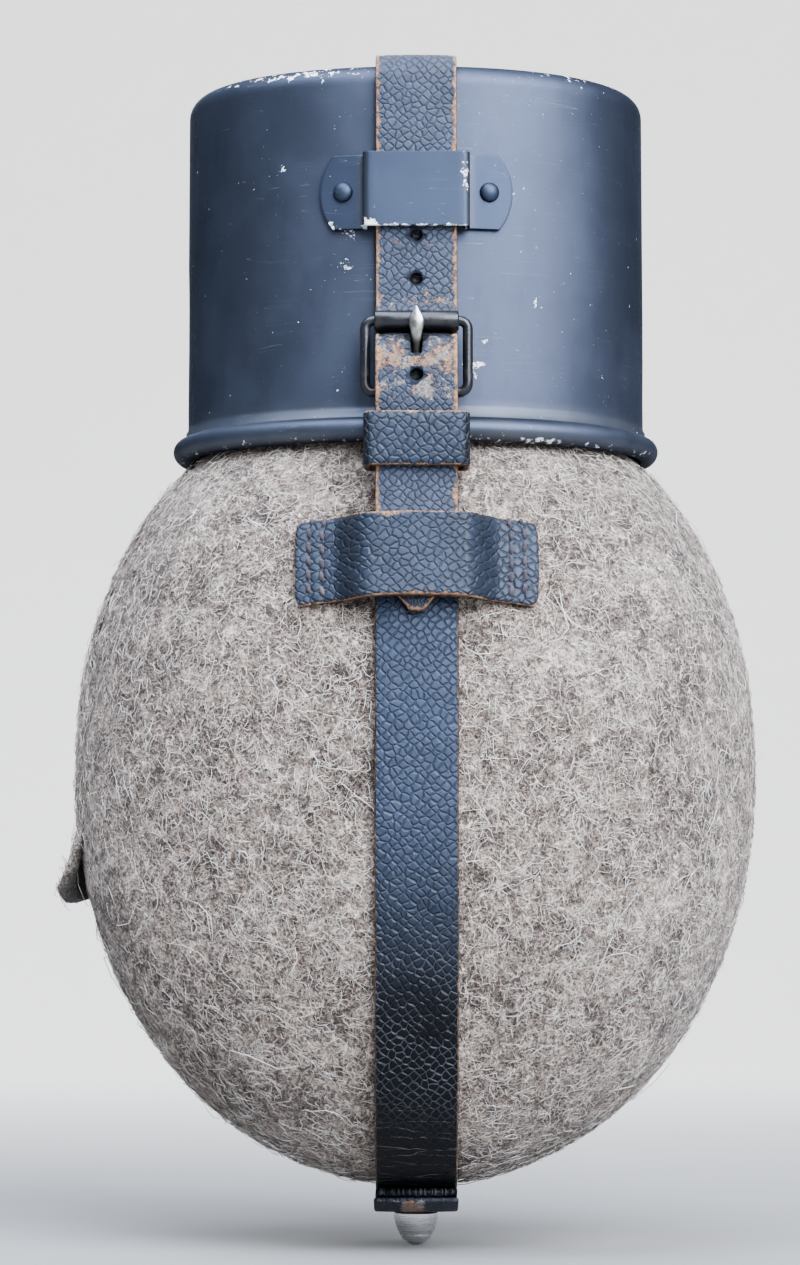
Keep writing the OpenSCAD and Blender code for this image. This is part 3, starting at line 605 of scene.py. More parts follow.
# The materials
FELT = felt_material()
FIBRE = fibre_material()
STRAP_DULL = leather_material(
    "pebbled_strap", 0.50, 1.42, (0.056, 0.069, 0.100), (0.024, 0.027, 0.036), worn=0.42, even=0.5
)
STRAP_GLOSS = leather_material(
    "pebbled_belly_strap", 0.60, 1.50, (0.044, 0.058, 0.090), (0.026, 0.034, 0.050), worn=-0.35, relief=0.24,
    even=0.46
)
BAND = leather_material(
    "pebbled_band", 0.58, 1.55, (0.036, 0.047, 0.071), (0.013, 0.015, 0.020), worn=0.15, even=0.5, relief=0.17
)
CUP_PAINT = lacquer_material("cup_lacquer", (0.070, 0.081, 0.110))
FITTING_PAINT = lacquer_material("fitting_lacquer", (0.054, 0.067, 0.098))
ENAMEL = enamel_material("black_enamel", (0.012, 0.013, 0.016), amount=0.3)
PRONG_STEEL = metal_material("worn_steel", (0.46, 0.45, 0.43), 0.32, soiled=0.5)
STUD_METAL = metal_material(
    "turned_aluminium", (0.80, 0.80, 0.79), 0.26, (0.05, 0.05, 3.0), soiled=0.15, relief=0.05
)
RAW_METAL = metal_material("drawn_aluminium", (0.70, 0.71, 0.72), 0.36, (0.3, 0.3, 1.4), soiled=0.35)
THREAD = thread_material()
TETHER_HIDE = plain_material("tether_leather", (0.17, 0.085, 0.040), 0.6, 0.8, 0.10)
RUBBER = plain_material("seal_rubber", (0.16, 0.045, 0.025), 0.7, 0.5, 0.04)

# ---------- felt ----------


def felt_panel(name, node, start, stop, rows, cols):
    """One half of the felt cover: a thick, lumpy skin with rounded edges."""
    phi = np.linspace(FELT_TOP, FELT_FOOT, rows)[:, None]
    theta = np.linspace(start, stop, cols)[None, :]
    surface = body_point(phi, theta)
    normal = unit(surface - body_point(phi, theta, -1.0))
    fell = (
        lumps(surface, 32.0, 1, 5.0) * 0.7 + lumps(surface, 13.0, 2) * 0.36
        + lumps(surface, 4.2, 2, 7.0) * 0.28 + lumps(surface, 1.7, 1, 3.0) * 0.18
    )
    # The felt thins towards its cut edges, and lies pressed down under the front straps
    near = np.minimum(np.arange(cols), np.arange(cols)[::-1])[None, :] / 4.0
    edge = 1 - np.clip(near, 0, 1)
    pressed = np.clip(1.6 - np.abs(surface[..., 0]) / 8.0, 0, 1)
    rise = np.clip(fell, -1.0, 0.75) * (1 - pressed * 0.8) - edge * 0.5 - pressed * 0.12
    outer = surface + normal * rise[..., None]
    inner = surface - normal * FELT_T
    obj = outward(add_object(name, *shell(outer, inner), FELT, "flask", node))
    store(obj, "shade", np.zeros(len(obj.data.vertices)))
    return obj, surface, normal


def flap():
    """The closing flap on the left: a tongue of felt, feathered at its sides, with a thick curled end."""
    rows, cols = 130, 60
    top, low, mid, half = 48.0, -17.0, 172.0, 21.0
    phi = np.linspace(top, low, rows)[:, None]
    width = half * np.sqrt(np.maximum(0.05, 1 - np.maximum(0, (low + 9 - phi) / 9) ** 2))
    around = np.linspace(-1, 1, cols)[None, :]
    base = body_point(phi, mid + width * around, 0.6)
    normal = unit(base - body_point(phi, mid + width * around, -1.0))
    end = np.clip((low + 10 - phi) / 8, 0, 1)
    front_side = np.clip((around + 0.15) / 0.45, 0, 1)
    thin = (
        np.clip((top - phi) / 22, 0.12, 1) * (1 - 0.75 * np.abs(around) ** 3 * (1 - end))
        * (1 - 0.72 * front_side * (1 - end))
    )
    thick = (1.9 + 0.35 * lumps(base, 6.0, 2, 2.0)) * thin + 1.7 * end
    lift = 0.2 + 2.1 * end**2 - 0.55 * front_side * (1 - end)
    inner = base + normal * (lift - 0.4)[..., None] * np.ones_like(normal)
    outer = inner + normal * (thick + 0.3 * lumps(base, 2.4, 2, 6.0) * thin)[..., None]
    obj = outward(add_object("felt_flap_cover", *shell(outer, inner), FELT, "flask", "felt_flap"))
    # Painted shade under the flap's curled end and over its inner face.
    below = np.clip((low + 3.5 - phi) / 3.5, 0, 1) * np.ones_like(around)
    store(obj, "shade", np.concatenate([(below * 0.75).ravel(), (0.9 * np.ones_like(below)).ravel()]))
    return obj, outer, normal


def fibres(name, surface, normal, count, length, radius, tones, keep, lift):
    """Loose wool fibres lying over the felt, each a thin closed prism bent along its length."""
    rows, cols = surface.shape[:2]
    r, c = RNG.integers(0, rows - 1, count * 4), RNG.integers(0, cols - 1, count * 4)
    span = (
        np.linalg.norm(surface[r, c] - surface[r + 1, c], axis=1)
        * np.linalg.norm(surface[r, c] - surface[r, c + 1], axis=1)
    )
    taken = RNG.random(len(r)) < span / span.max()
    a, b = RNG.random((2, len(r), 1))
    root = surface[r, c] + (surface[r + 1, c] - surface[r, c]) * a + (surface[r, c + 1] - surface[r, c]) * b
    taken &= keep(root)
    chosen = np.flatnonzero(taken)[:count]
    root, up = root[chosen], normal[r, c][chosen]
    n, steps = len(root), 5
    aim = unit(np.cross(up, RNG.normal(size=(n, 3))))
    side = np.cross(up, aim)
    run = (length[0] + (length[1] - length[0]) * RNG.random(n) ** 2)[:, None]
    rise = np.abs(RNG.normal(0.0, lift, n))[:, None] * np.minimum(run / length[1], 1)
    turn = RNG.normal(0.0, 0.24, n)[:, None] * run
    turn2 = RNG.normal(0.0, 0.12, n)[:, None] * run
    sag = run**2 / (8 * 50.0)
    rings = []
    for t in np.linspace(0, 1, steps):
        centre = root + aim * run * (t - 0.5) + side * (
            turn * np.sin(math.pi * t) + turn2 * np.sin(2 * math.pi * t)
        )
        centre = centre + up * (0.16 + rise * np.sin(math.pi * t) - sag * (2 * t - 1) ** 2)
        thick = radius * (1 - 0.6 * abs(2 * t - 1) ** 2)
        rings.append([centre + thick * (side * math.cos(w) + up * math.sin(w)) for w in (0.5, 2.6, 4.7)])
    points = np.array(rings).transpose(2, 0, 1, 3).reshape(-1, 3)
    each = steps * 3
    faces = []
    for o in range(0, n * each, each):
        for p in range(o, o + each - 3, 3):
            faces += [(p, p + 1, p + 4, p + 3), (p + 1, p + 2, p + 5, p + 4), (p + 2, p, p + 3, p + 5)]
        faces += [(o + 2, o + 1, o), (o + each - 3, o + each - 2, o + each - 1)]
    obj = add_object(name, points, faces, FIBRE, "flask")
    store(obj, "tone", np.repeat(np.clip(RNG.normal(*tones, n), 0, 1), each))
    return obj


def seam():
    """Whip stitches that close the cover's two halves down the right side."""
    lines = []
    for phi in np.arange(58.0, -80.0, -2.3):
        skew = 0.9 * math.sin(phi * 1.7)
        bearing = np.linspace(-2.6, 2.6, 7)
        line = body_point(phi + skew * bearing / 2.6 * 0.8, bearing, 0.35)
        up = body_point(phi, 0.01, 1.0) - body_point(phi, 0.01, 0.0)
        lines.append((line, up / np.linalg.norm(up)))
    return tubes("felt_seam_stitches", lines, 0.30, "flask")


front, *WOOL_FRONT = felt_panel("felt_cover_front", "felt_front", 180.2, 359.8, 200, 230)
back, *WOOL_BACK = felt_panel("felt_cover_back", "felt_back", 0.2, 179.8, 150, 170)
flap_piece, *WOOL_FLAP = flap()
seam()


def clear_of_harness(p):
    """Where no strap, keeper, sewn loop or cup lies over the felt."""
    return (
        (np.abs(p[:, 0]) > 8.8) & (p[:, 2] < 157) & ~((np.abs(p[:, 0]) < 13.5) & (p[:, 2] > 144))
        & ~((np.abs(p[:, 0]) < 24.5) & (np.abs(p[:, 2] - LOOP_Z) < 9.5))
    )


def anywhere(p):
    return p[:, 2] > -1


for name, wool, count, length, radius, tones, keep, lift in (
    ("wool_fibres_pale", WOOL_FRONT, 7600, (1.5, 6.5), 0.068, (0.92, 0.12), clear_of_harness, 0.5),
    ("wool_fibres_mid", WOOL_FRONT, 7000, (1.5, 5.0), 0.060, (0.52, 0.10), clear_of_harness, 0.3),
    ("wool_fibres_dark", WOOL_FRONT, 6000, (1.5, 4.5), 0.060, (0.04, 0.05), clear_of_harness, 0.3),
    ("wool_hairs_front", WOOL_FRONT, 60, (9.0, 18.0), 0.095, (0.97, 0.04), clear_of_harness, 0.9),
    ("wool_fibres_back", WOOL_BACK, 7000, (1.5, 6.5), 0.070, (0.90, 0.10), clear_of_harness, 0.5),
    ("wool_fibres_back_dark", WOOL_BACK, 3000, (1.5, 5.0), 0.060, (0.08, 0.07), clear_of_harness, 0.3),
    ("wool_fibres_flap", WOOL_FLAP, 1200, (1.2, 4.5), 0.060, (0.55, 0.28), anywhere, 0.5),
):
    fibres(name, *wool, count, length, radius, tones, keep, lift)

# ---------- cup ----------


def cup_ring(z, out, n):
    """Points round the cup at a height, moved out from its wall."""
    angle = full_turn(n)
    x = (CUP_HALF + out) * np.sign(np.cos(angle)) * np.abs(np.cos(angle)) ** (2 / CUP_N)
    y = (CUP_DEEP + out) * np.sign(np.sin(angle)) * np.abs(np.sin(angle)) ** (2 / CUP_N)
    return np.column_stack([x, y, np.full(n, z)])


def cup_wall(x):
    """How far the cup's wall stands from its middle plane, this far to the side."""
    return CUP_DEEP * (1 - (abs(x) / CUP_HALF) ** CUP_N) ** (1 / CUP_N)


def cup():
    """The drinking cup upside down: drawn wall, rounded base, and a rolled bead below a shallow step."""
    n = 220
    bead_r = BEAD_H / 2
    inner_r = CORNER - CUP_WALL
    rings = []
    for inset in (26.0, 16.0, 8.0):
        rings.append(cup_ring(CUP_TOP - CUP_WALL, -inset, n))
    rings += [
        cup_ring(CUP_TOP - CORNER + inner_r * math.sin(a), inner_r * math.cos(a) - CORNER, n)
        for a in np.radians([90, 68, 45, 22, 0])
    ]
    rings += [cup_ring(z, -CUP_WALL, n) for z in np.linspace(CUP_TOP - CORNER - 4, RIM + 1.6, 8)]
    rings += [cup_ring(RIM + 0.5, -CUP_WALL + 0.05, n), cup_ring(RIM, -CUP_WALL / 2, n)]
    rings += [
        cup_ring(RIM + bead_r + bead_r * math.sin(a), BEAD_OUT - bead_r + bead_r * math.cos(a), n)
        for a in np.radians(np.linspace(-90, 78, 15))
    ]
    step_z = RIM + BEAD_H
    rings += [
        cup_ring(step_z + 0.1, 0.75, n), cup_ring(step_z + 0.35, 0.35, n), cup_ring(step_z + 1.4, 0.32, n),
        cup_ring(step_z + 1.75, 0.02, n)
    ]
    first_wall = len(rings)
    rings += [cup_ring(z, 0.0, n) for z in np.linspace(step_z + 2.6, CUP_TOP - CORNER - 0.5, 46)]
    rings += [
        cup_ring(CUP_TOP - CORNER + CORNER * math.sin(a), CORNER * (math.cos(a) - 1), n)
        for a in np.radians([0, 12, 24, 36, 48, 60, 72, 84, 90])
    ]
    for inset in (5.0, 8.0, 16.0, 26.0):
        rings.append(cup_ring(CUP_TOP, -inset, n))
    points, faces = loft(rings)
    outer = np.arange(len(points)) // n >= first_wall
    radial = unit(points * np.array([1, 1, 0]))
    dents = lumps(points, 38.0, 2, 5.0) * 0.16 + lumps(points, 11.0, 2, 9.0) * 0.05
    points = points + radial * (np.clip(dents, -0.35, 0.0) * outer)[:, None]
    obj = outward(add_object("cup", points, faces, CUP_PAINT, "cup", "cup_shell"))
    # Chips gather on the upper left edge, with fewer round the rest of the base and the bead
    x, y, z = points.T
    bearing = np.degrees(np.arctan2(-y, x))
    top = bell(z - (CUP_TOP - 1.3), 1.5) * (CUP_TOP - z < 6)
    flat_top = (z > CUP_TOP - 0.01) & (np.hypot(x / 42.0, y / 28.0) < 1)
    left = bell(bearing - 128, 26) + 0.72 * bell(bearing - 38, 15) + 0.5 * bell(bearing + 100, 60)
    chip = 0.30 + top * (~flat_top) * 0.19 * np.clip(left, 0, 1)
    rim = bell(z - (RIM + 0.4), 0.7)
    chip = np.maximum(chip, 0.30 + rim * (0.09 + 0.08 * bell(bearing - 60, 25)))
    for angle, height, size in (
        (112, 199.0, 2.2), (114, 192.5, 2.0), (70, 172.5, 2.6), (66, 178.0, 1.4), (58, 207.0, 1.6),
        (134, 213.0, 1.4), (84, 202.0, 1.2), (50, 186.0, 1.5)
    ):
        near = (np.abs(bearing - angle) * 0.75) ** 2 + ((z - height) * 1.3) ** 2
        chip = np.maximum(chip, 0.30 + 0.24 * np.exp(-near / size**2))
    store(obj, "chip", chip)
    dust = 0.55 * bell(z - (RIM + BEAD_H + 1.0), 1.6) + 0.75 * bell(z - (RIM + 0.9), 1.0)
    store(obj, "dust", dust * (0.55 + 0.45 * lumps(points, 9.0, 3, 1.0)))
    return obj


cup()


def bracket(name, node, side):
    """Sheet-metal bridge over the strap, bent sharply down to a rounded ear each side."""
    thick, bend, top = 0.9, 0.35, CUP_DEEP + 2.7
    gap = 0.06
    foot = cup_wall(10.0) + gap
    half = [(v, top) for v in np.linspace(0.6, 9.2, 9)]
    half += [
        (9.25 + bend * math.sin(a), top - bend + bend * math.cos(a)) for a in np.radians([15, 40, 65, 88])
    ]
    half += [(9.62, top - 0.9), (9.64, foot + 0.7)]
    half += [
        (9.65 + bend * (1 - math.cos(a)), foot + bend * (1 - math.sin(a))) for a in np.radians([15, 45, 80])
    ]
    half += [(v, cup_wall(v) + gap) for v in np.linspace(10.3, BRACKET_W / 2, 16)]
    across = [(-x, d) for x, d in half[::-1]] + [(0.0, top)] + half
    across = np.array(across)
    down = np.concatenate([[-1, -0.97], np.linspace(-0.9, 0.9, 19), [0.97, 1]]) * BRACKET_H / 2
    x, z = np.meshgrid(across[:, 0], down)
    depth = np.broadcast_to(across[:, 1], x.shape)
    # The ears' ends are rounded
    reach = BRACKET_W / 2 - 11.8 + np.sqrt(np.maximum(11.8**2 - z**2, 0))
    out = np.abs(x) > 10.5
    x = np.where(out, np.sign(x) * (10.5 + (np.abs(x) - 10.5) * (reach - 10.5) / (BRACKET_W / 2 - 10.5)), x)
    depth = np.where(out, cup_wall(x) + gap, depth)
    mid = np.stack([x, -depth, z + BRACKET_Z], -1)
    normal = grid_normals(mid)
    normal *= np.sign(normal[..., 0:1] * np.sign(x)[..., None] - normal[..., 1:2])
    points, faces = shell(mid + normal * thick, mid)
    if side > 0:
        points = points * np.array([1, -1, 1])
    obj = outward(add_object(name, points, faces, FITTING_PAINT, "cup", node))
    round_edges(obj, 0.16, 2, 55)
    co = np.array([v.co for v in obj.data.vertices]) / MM
    ax, h = np.abs(co[:, 0]), co[:, 2] - BRACKET_Z
    rim = BRACKET_H / 2 - np.abs(h)
    low_edge = bell(h + BRACKET_H / 2, 0.5) * (ax < 9.9)
    right = bell(co[:, 0] - 9.4, 0.9) * bell(h - 3.4, 3.6)
    corner = (
        np.exp(-(((co[:, 0] + 9.2) ** 2 + (h + 7.2) ** 2) / 2.5))
        + np.exp(-(((co[:, 0] + 17.0) ** 2 + (h + 6.9) ** 2) / 2.0))
    )
    chip = (
        0.30 + 0.06 * np.exp(-rim / 0.3) + 0.16 * low_edge + 0.22 * np.clip(right, 0, 1)
        + 0.30 * np.clip(corner, 0, 1)
    )
    store(obj, "chip", np.clip(chip, 0, 0.62))
    store(obj, "dust", 0.35 * bell(ax - 10.6, 0.9))
    return obj


bracket("front_strap_bracket", "front_bracket", -1)
bracket("back_strap_bracket", "back_bracket", 1)


def lathe(name, profile, material, body, node, axis=(0, 0, 1), at=(0, 0, 0), n=48):
    """Turned piece from [radius, height] points, its axis pointed and placed."""
    angle = full_turn(n)
    turn = Vector((0, 0, 1)).rotation_difference(Vector(axis)).to_matrix()
    rings = []
    for r, h in profile:
        ring = np.column_stack([r * np.cos(angle), r * np.sin(angle), np.full(n, float(h))])
        rings.append(ring @ np.array(turn).T + np.array(at))
    return outward(add_object(name, *loft(rings), material, body, node))


def rivets(prefix, node, side):
    out = np.array([math.sin(math.radians(11.2)), math.cos(math.radians(11.2))])
    dome = [[1.1, -0.2]] + [
        [1.95 * math.cos(a), 0.15 + 1.15 * math.sin(a)] for a in np.radians([0, 18, 36, 52, 66, 78, 87])
    ]
    inner = [[1.1, -0.2], [1.1, -2.05], [1.7, -2.05], [1.8, -2.3], [1.5, -2.75], [0.3, -2.8]]
    profile = inner[::-1][:-1] + dome
    for s, word in ((-1, "left"), (1, "right")):
        place = (s * RIVET_X, side * (cup_wall(RIVET_X) + 0.96), BRACKET_Z)
        obj = lathe(
            f"{prefix}_{word}", profile, FITTING_PAINT, "cup", node, (s * out[0], side * out[1], 0), place, 28
        )
        store(obj, "chip", np.full(len(obj.data.vertices), 0.33))
        store(obj, "dust", np.zeros(len(obj.data.vertices)))


rivets("front_rivet", "front_rivets", -1)
rivets("back_rivet", "back_rivets", 1)

# ---------- straps ----------

ACROSS = [0.0, 0.16, 0.32, 0.48, 0.62, 0.74, 0.80, 0.84, 0.88, 0.93, 1.0]


def strap(
    name, route, node, material, half_width=None, thick=STRAP_T, crease=0.13, marks={}, width=STRAP_W,
    body="flask"
):
    """A leather strap swept along a route of [y, z] points, with rounded edges and a crease beside each."""
    line = smooth_route(route, 0.9)
    run = run_along(line)
    ahead = unit(np.gradient(line, axis=0))
    over = np.column_stack([-ahead[:, 1], ahead[:, 0]])
    corner = 0.5
    fractions = [-v for v in ACROSS[:0:-1]] + ACROSS
    rings, edges = [], []
    for i, (p, o) in enumerate(zip(line, over)):
        half = (half_width(run[i]) if half_width else width / 2) - corner
        t = thick / 2
        wave = 0.10 * noise.noise(Vector((run[i] * 0.05, 3.0, len(name))))
        ring, edge = [], []
        for f in fractions:
            inset = half * (1 - abs(f))
            dip = crease * math.exp(-(((inset - 0.75) / 0.32) ** 2))
            ring.append((f * half, t - dip - 0.12 * f * f))
            edge.append(inset + 0.3)
        for s in (1, -1):
            for a in (60 * s, 30 * s, 0, -30 * s, -60 * s):
                level = (t - corner) * np.sign(a) + corner * math.sin(math.radians(a)) - 0.1 * (a > 0)
                ring.append((s * (half + corner * math.cos(math.radians(a))), level))
                edge.append(0.1 if a == 60 else -0.6)
            if s == 1:
                ring += [(f * half, -t) for f in (1, 0.5, 0, -0.5, -1)]
                edge += [2.0] * 5
        ends = min(i, len(line) - 1 - i)
        slim = (0.72, 0.9)[ends] if ends < 2 else 1.0
        rings.append([(x + wave, p[0] + o[0] * h * slim, p[1] + o[1] * h * slim) for x, h in ring])
        edges.append(np.minimum(edge, ends * 0.9 - (0.6 if ends == 0 else 0)))
    points, faces = loft(rings)
    obj = outward(add_object(name, points, faces, material, body, node))
    hide_marks(
        obj, np.repeat(run, len(rings[0])), np.tile([x for x, _ in ring], len(rings)), np.concatenate(edges)
    )
    for key, value in marks.items():
        store(obj, key, value(points))
    return obj


def hide_marks(obj, along, across, edge, wear=0.24):
    """Marks that the leather reads: place on the hide, distance from an edge, wear, cracks, painted shade."""
    for key, value in (
        ("along", along), ("across", across), ("edge", edge), ("wear", wear), ("cracked", 0.0), ("dark", 0.0)
    ):
        store(obj, key, np.broadcast_to(value, len(obj.data.vertices)))


def cut(obj, *cutters):
    """Cuts closed shapes out of a mesh."""
    for cutter in cutters:
        modify(obj, "BOOLEAN", operation="DIFFERENCE", solver="EXACT", object=cutter)
        bpy.data.objects.remove(cutter)
    return obj


def rod(axis, radius, length, at, squash=(1, 1)):
    """A cutter: a round bar, flattened if squash says so."""
    angle = full_turn(24)
    ring = np.column_stack(
        [radius * squash[0] * np.cos(angle), radius * squash[1] * np.sin(angle), np.zeros(24)]
    )
    turn = np.array(Vector((0, 0, 1)).rotation_difference(Vector(axis)).to_matrix())
    ends = [(ring + [0, 0, h]) @ turn.T + np.array(at) for h in (-length / 2, length / 2)]
    return outward(add_object("cutter", *loft(ends), FELT, None))


UNDER = LAY + PLY + 0.1
HOLES = (198.2, 189.5, 169.0)
TONGUE = -(STACK + 2 * PLY)
OUTER = -(STACK + PLY)
TONGUE_CUP = CUP_DEEP + 0.3 + STRAP_T / 2
BACK_Y = CUP_DEEP + BEAD_OUT + 0.9 + STRAP_T / 2
CROWN_R, CROWN_Z = 4.6, CUP_TOP + 0.3 + STRAP_T / 2


def long_strap_route():
    front = [
        [TONGUE - 3.35, 122.9], [TONGUE - 2.5, 128.7], [TONGUE - 1.7, 134.5], [TONGUE - 1.1, 139.5],
        [TONGUE, 147], [TONGUE, 154], [TONGUE, 161]
    ]
    front += [
        [BAR[0] - 4.1, 167], [BAR[0] - 4.1, 171], [BAR[0] - 3.7, 174.3], [BAR[0] - 2.4, 176.2],
        [BAR[0] - 0.2, 176.95]
    ]
    under_roller = arc(ROLLER, 2.2 + STRAP_T / 2, -75, 0, 15)
    face = [[-TONGUE_CUP - 0.2, 185]] + [[-TONGUE_CUP, z] for z in (189, 200, 212, 222)]
    crown = [[-TONGUE_CUP + CROWN_R - y, z] for y, z in arc((0, CROWN_Z - CROWN_R), CROWN_R, 0, 90, 15)]
    over = [[y, CROWN_Z] for y in (-18, -6, 6, 18)]
    crown += over + [
        [TONGUE_CUP - CROWN_R + y, z] for y, z in arc((0, CROWN_Z - CROWN_R), CROWN_R, 0, 90, 15)
    ][::-1]
    rear = [[TONGUE_CUP, z] for z in (222, 205, 190, 176, 168)]
    rear += [[BACK_Y, 162.5], [BACK_Y, 158], [BACK_Y + 0.3, 150], [BACK_Y + 0.8, 139], [BACK_Y + 1.2, 133.5]]
    rear += belly(1, 25.5, -60, 7.773, LAY)
    for phi in (-67, -73, -79, -85):
        rear.append(mid_point(phi, 1, LAY + (UNDER - LAY) * min(1, (-phi - 61) / 12)))
    return front + under_roller + face + crown + rear + [mid_point(phi, -1, UNDER) for phi in (-87, -81, -75)]


def tongue_half(run):
    """Half width near the tongue's pointed tip."""
    return min(STRAP_W / 2, 1.5 + 0.62 * run ** 1.22)


def strap_wear(points):
    """Where the buckle, the prong and the bend over the cup have rubbed the leather."""
    x, y, z = points.T
    value = np.full(len(points), 0.29)
    for height, reach, amount in (
        (172.5, 4.0, 0.30), (166.5, 3.4, 0.18), (196.5, 2.0, 0.10), (185.0, 3.0, 0.15), (234.0, 3.0, 0.10),
        (125.0, 2.0, 0.1)
    ):
        value = np.maximum(value, 0.29 + amount * bell(z - height, reach) * (y < 0))
    spot = np.exp(-(((x - 1.8) / 2.2) ** 2 + ((z - 166.8) / 3.0) ** 2)) * (y < 0)
    return np.maximum(value, 0.29 + 0.36 * spot)


def strap_painted_shade(points):
    """Painted shade under the roller and where the leather is tucked away under the bottle."""
    y, z = points[:, 1], points[:, 2]
    return np.clip(bell(z - 177.4, 1.3) * (y < -37) + (z < 14) * 1.0, 0, 1)


def long_strap():
    """The strap over the cup, with its holes, the prong's slot and painted shade inside them."""
    obj = strap(
        "long_strap_leather", long_strap_route(), "long_strap", STRAP_DULL, tongue_half,
        marks={"wear": strap_wear, "dark": strap_painted_shade}
    )
    cut(
        obj,
        rod((0, 1, 0), 1.25, 3, (0, -TONGUE_CUP - 1.5, HOLES[0])),
        rod((0, 1, 0), 1.25, 3, (0, -TONGUE_CUP - 1.5, HOLES[1])),
        rod((0, 1, 0), 1.3, 3, (0, BAR[0] - 5.2, HOLES[2])),
        rod((0, 0, 1), 1.0, 5.9, (0, BAR[0] - 3, 176.1), (1.28, 2.9)),
        # Groove that the prong has pressed into the back of the leather below its slot
        rod((0, 0, 1), 1.0, 2.7, (0, BAR[0] - 2.85, 172.15), (1.9, 1.0)),
    )
    # Painted shade fills the holes, the prong's slot and the groove behind it. There, and under the bottle,
    # the edge and wear marks keep bare hide from showing.
    x, y, z = points_of(obj).T
    inside = (np.abs(x) < 1.35) & (z > 173.1) & (z < 179.1)
    for height in HOLES:
        inside |= np.hypot(x, z - height) < 1.36
    inside &= y < -20
    inside |= (np.abs(x) < 1.95) & (z > 170.7) & (z < 173.6) & (y > BAR[0] - 3.95) & (y < -20)
    deep = inside & (y > np.where(z > 182, -TONGUE_CUP - 0.65, BAR[0] - 4.75))
    inside |= z < 14
    store(obj, "dark", np.maximum(strap_painted_shade(points_of(obj)), deep))
    for mark, value in (("edge", 2.0), ("wear", 0.1)):
        kept = np.zeros(len(x), np.float32)
        obj.data.attributes[mark].data.foreach_get("value", kept)
        store(obj, mark, np.where(inside, value, kept))
    obj.parent = None
    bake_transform(obj)


long_strap()


def buckle_strap_route():
    fold = 1.1 + STRAP_T / 2
    route = [
        [-STACK, 146], [-STACK, 154], [-STACK, 161.8], [BAR[0] + fold - 0.1, 164.8]
    ] + arc(BAR, fold, 0, 180, 22.5)
    route += [[OUTER, 161], [OUTER, 154], [OUTER, 147], [OUTER - 1, 139.5], [OUTER - 1.6, 134.5]]
    route += belly(-1, 25.5, -85, 7.893, LAY)
    return route + [mid_point(phi, 1, LAY) for phi in (-88, -84, -79)]


def belly_cracks(points):
    return np.clip((34 - points[:, 2]) / 14, 0, 1)


def belly_painted_shade(points):
    """Darker towards the underside: painted shade as the strap turns under the bottle."""
    t = np.clip((92 - points[:, 2]) / 50, 0, 1)
    return t * t * (3 - 2 * t)


def buckle_strap():
    """The strap that is folded round the buckle's bar and runs down the front."""
    obj = strap(
        "buckle_strap_leather", buckle_strap_route(), "buckle_strap", STRAP_GLOSS,
        marks={"cracked": belly_cracks, "dark": belly_painted_shade}
    )
    cut(obj, rod((0, 1, 0), 2.9, 10, (0, BAR[0], 168.0), (0.62, 1.25)))


buckle_strap()


def end_pad():
    """Short leather pad that the strap's end lies on, under the bottle."""
    pad_out = UNDER + STRAP_T / 2 + 0.1 + 0.6
    pad_route = (
        [mid_point(phi, 1, pad_out) for phi in (-79, -85)]
        + [mid_point(phi, -1, pad_out) for phi in (-87, -81, -75)]
    )
    # Painted shade darkens the pad where it lies under the bottle, less down its middle, where the pad is
    # also worn.
    obj = strap(
        "strap_end_pad_leather", pad_route, "strap_end_pad", STRAP_DULL, thick=1.2, crease=0.0,
        width=STRAP_W + 0.6,
        marks={
            "dark": lambda p: 0.7 - 0.4 * bell(p[:, 0], 2.2), "edge": lambda p: np.full(len(p), 2.0),
            "wear": lambda p: 0.25 + 0.35 * (np.abs(p[:, 0] + 0.6) < 2.2)
        },
    )
    cut(obj, rod((0, 0, 1), 2.5, 8, (0, 0, 8)))


end_pad()


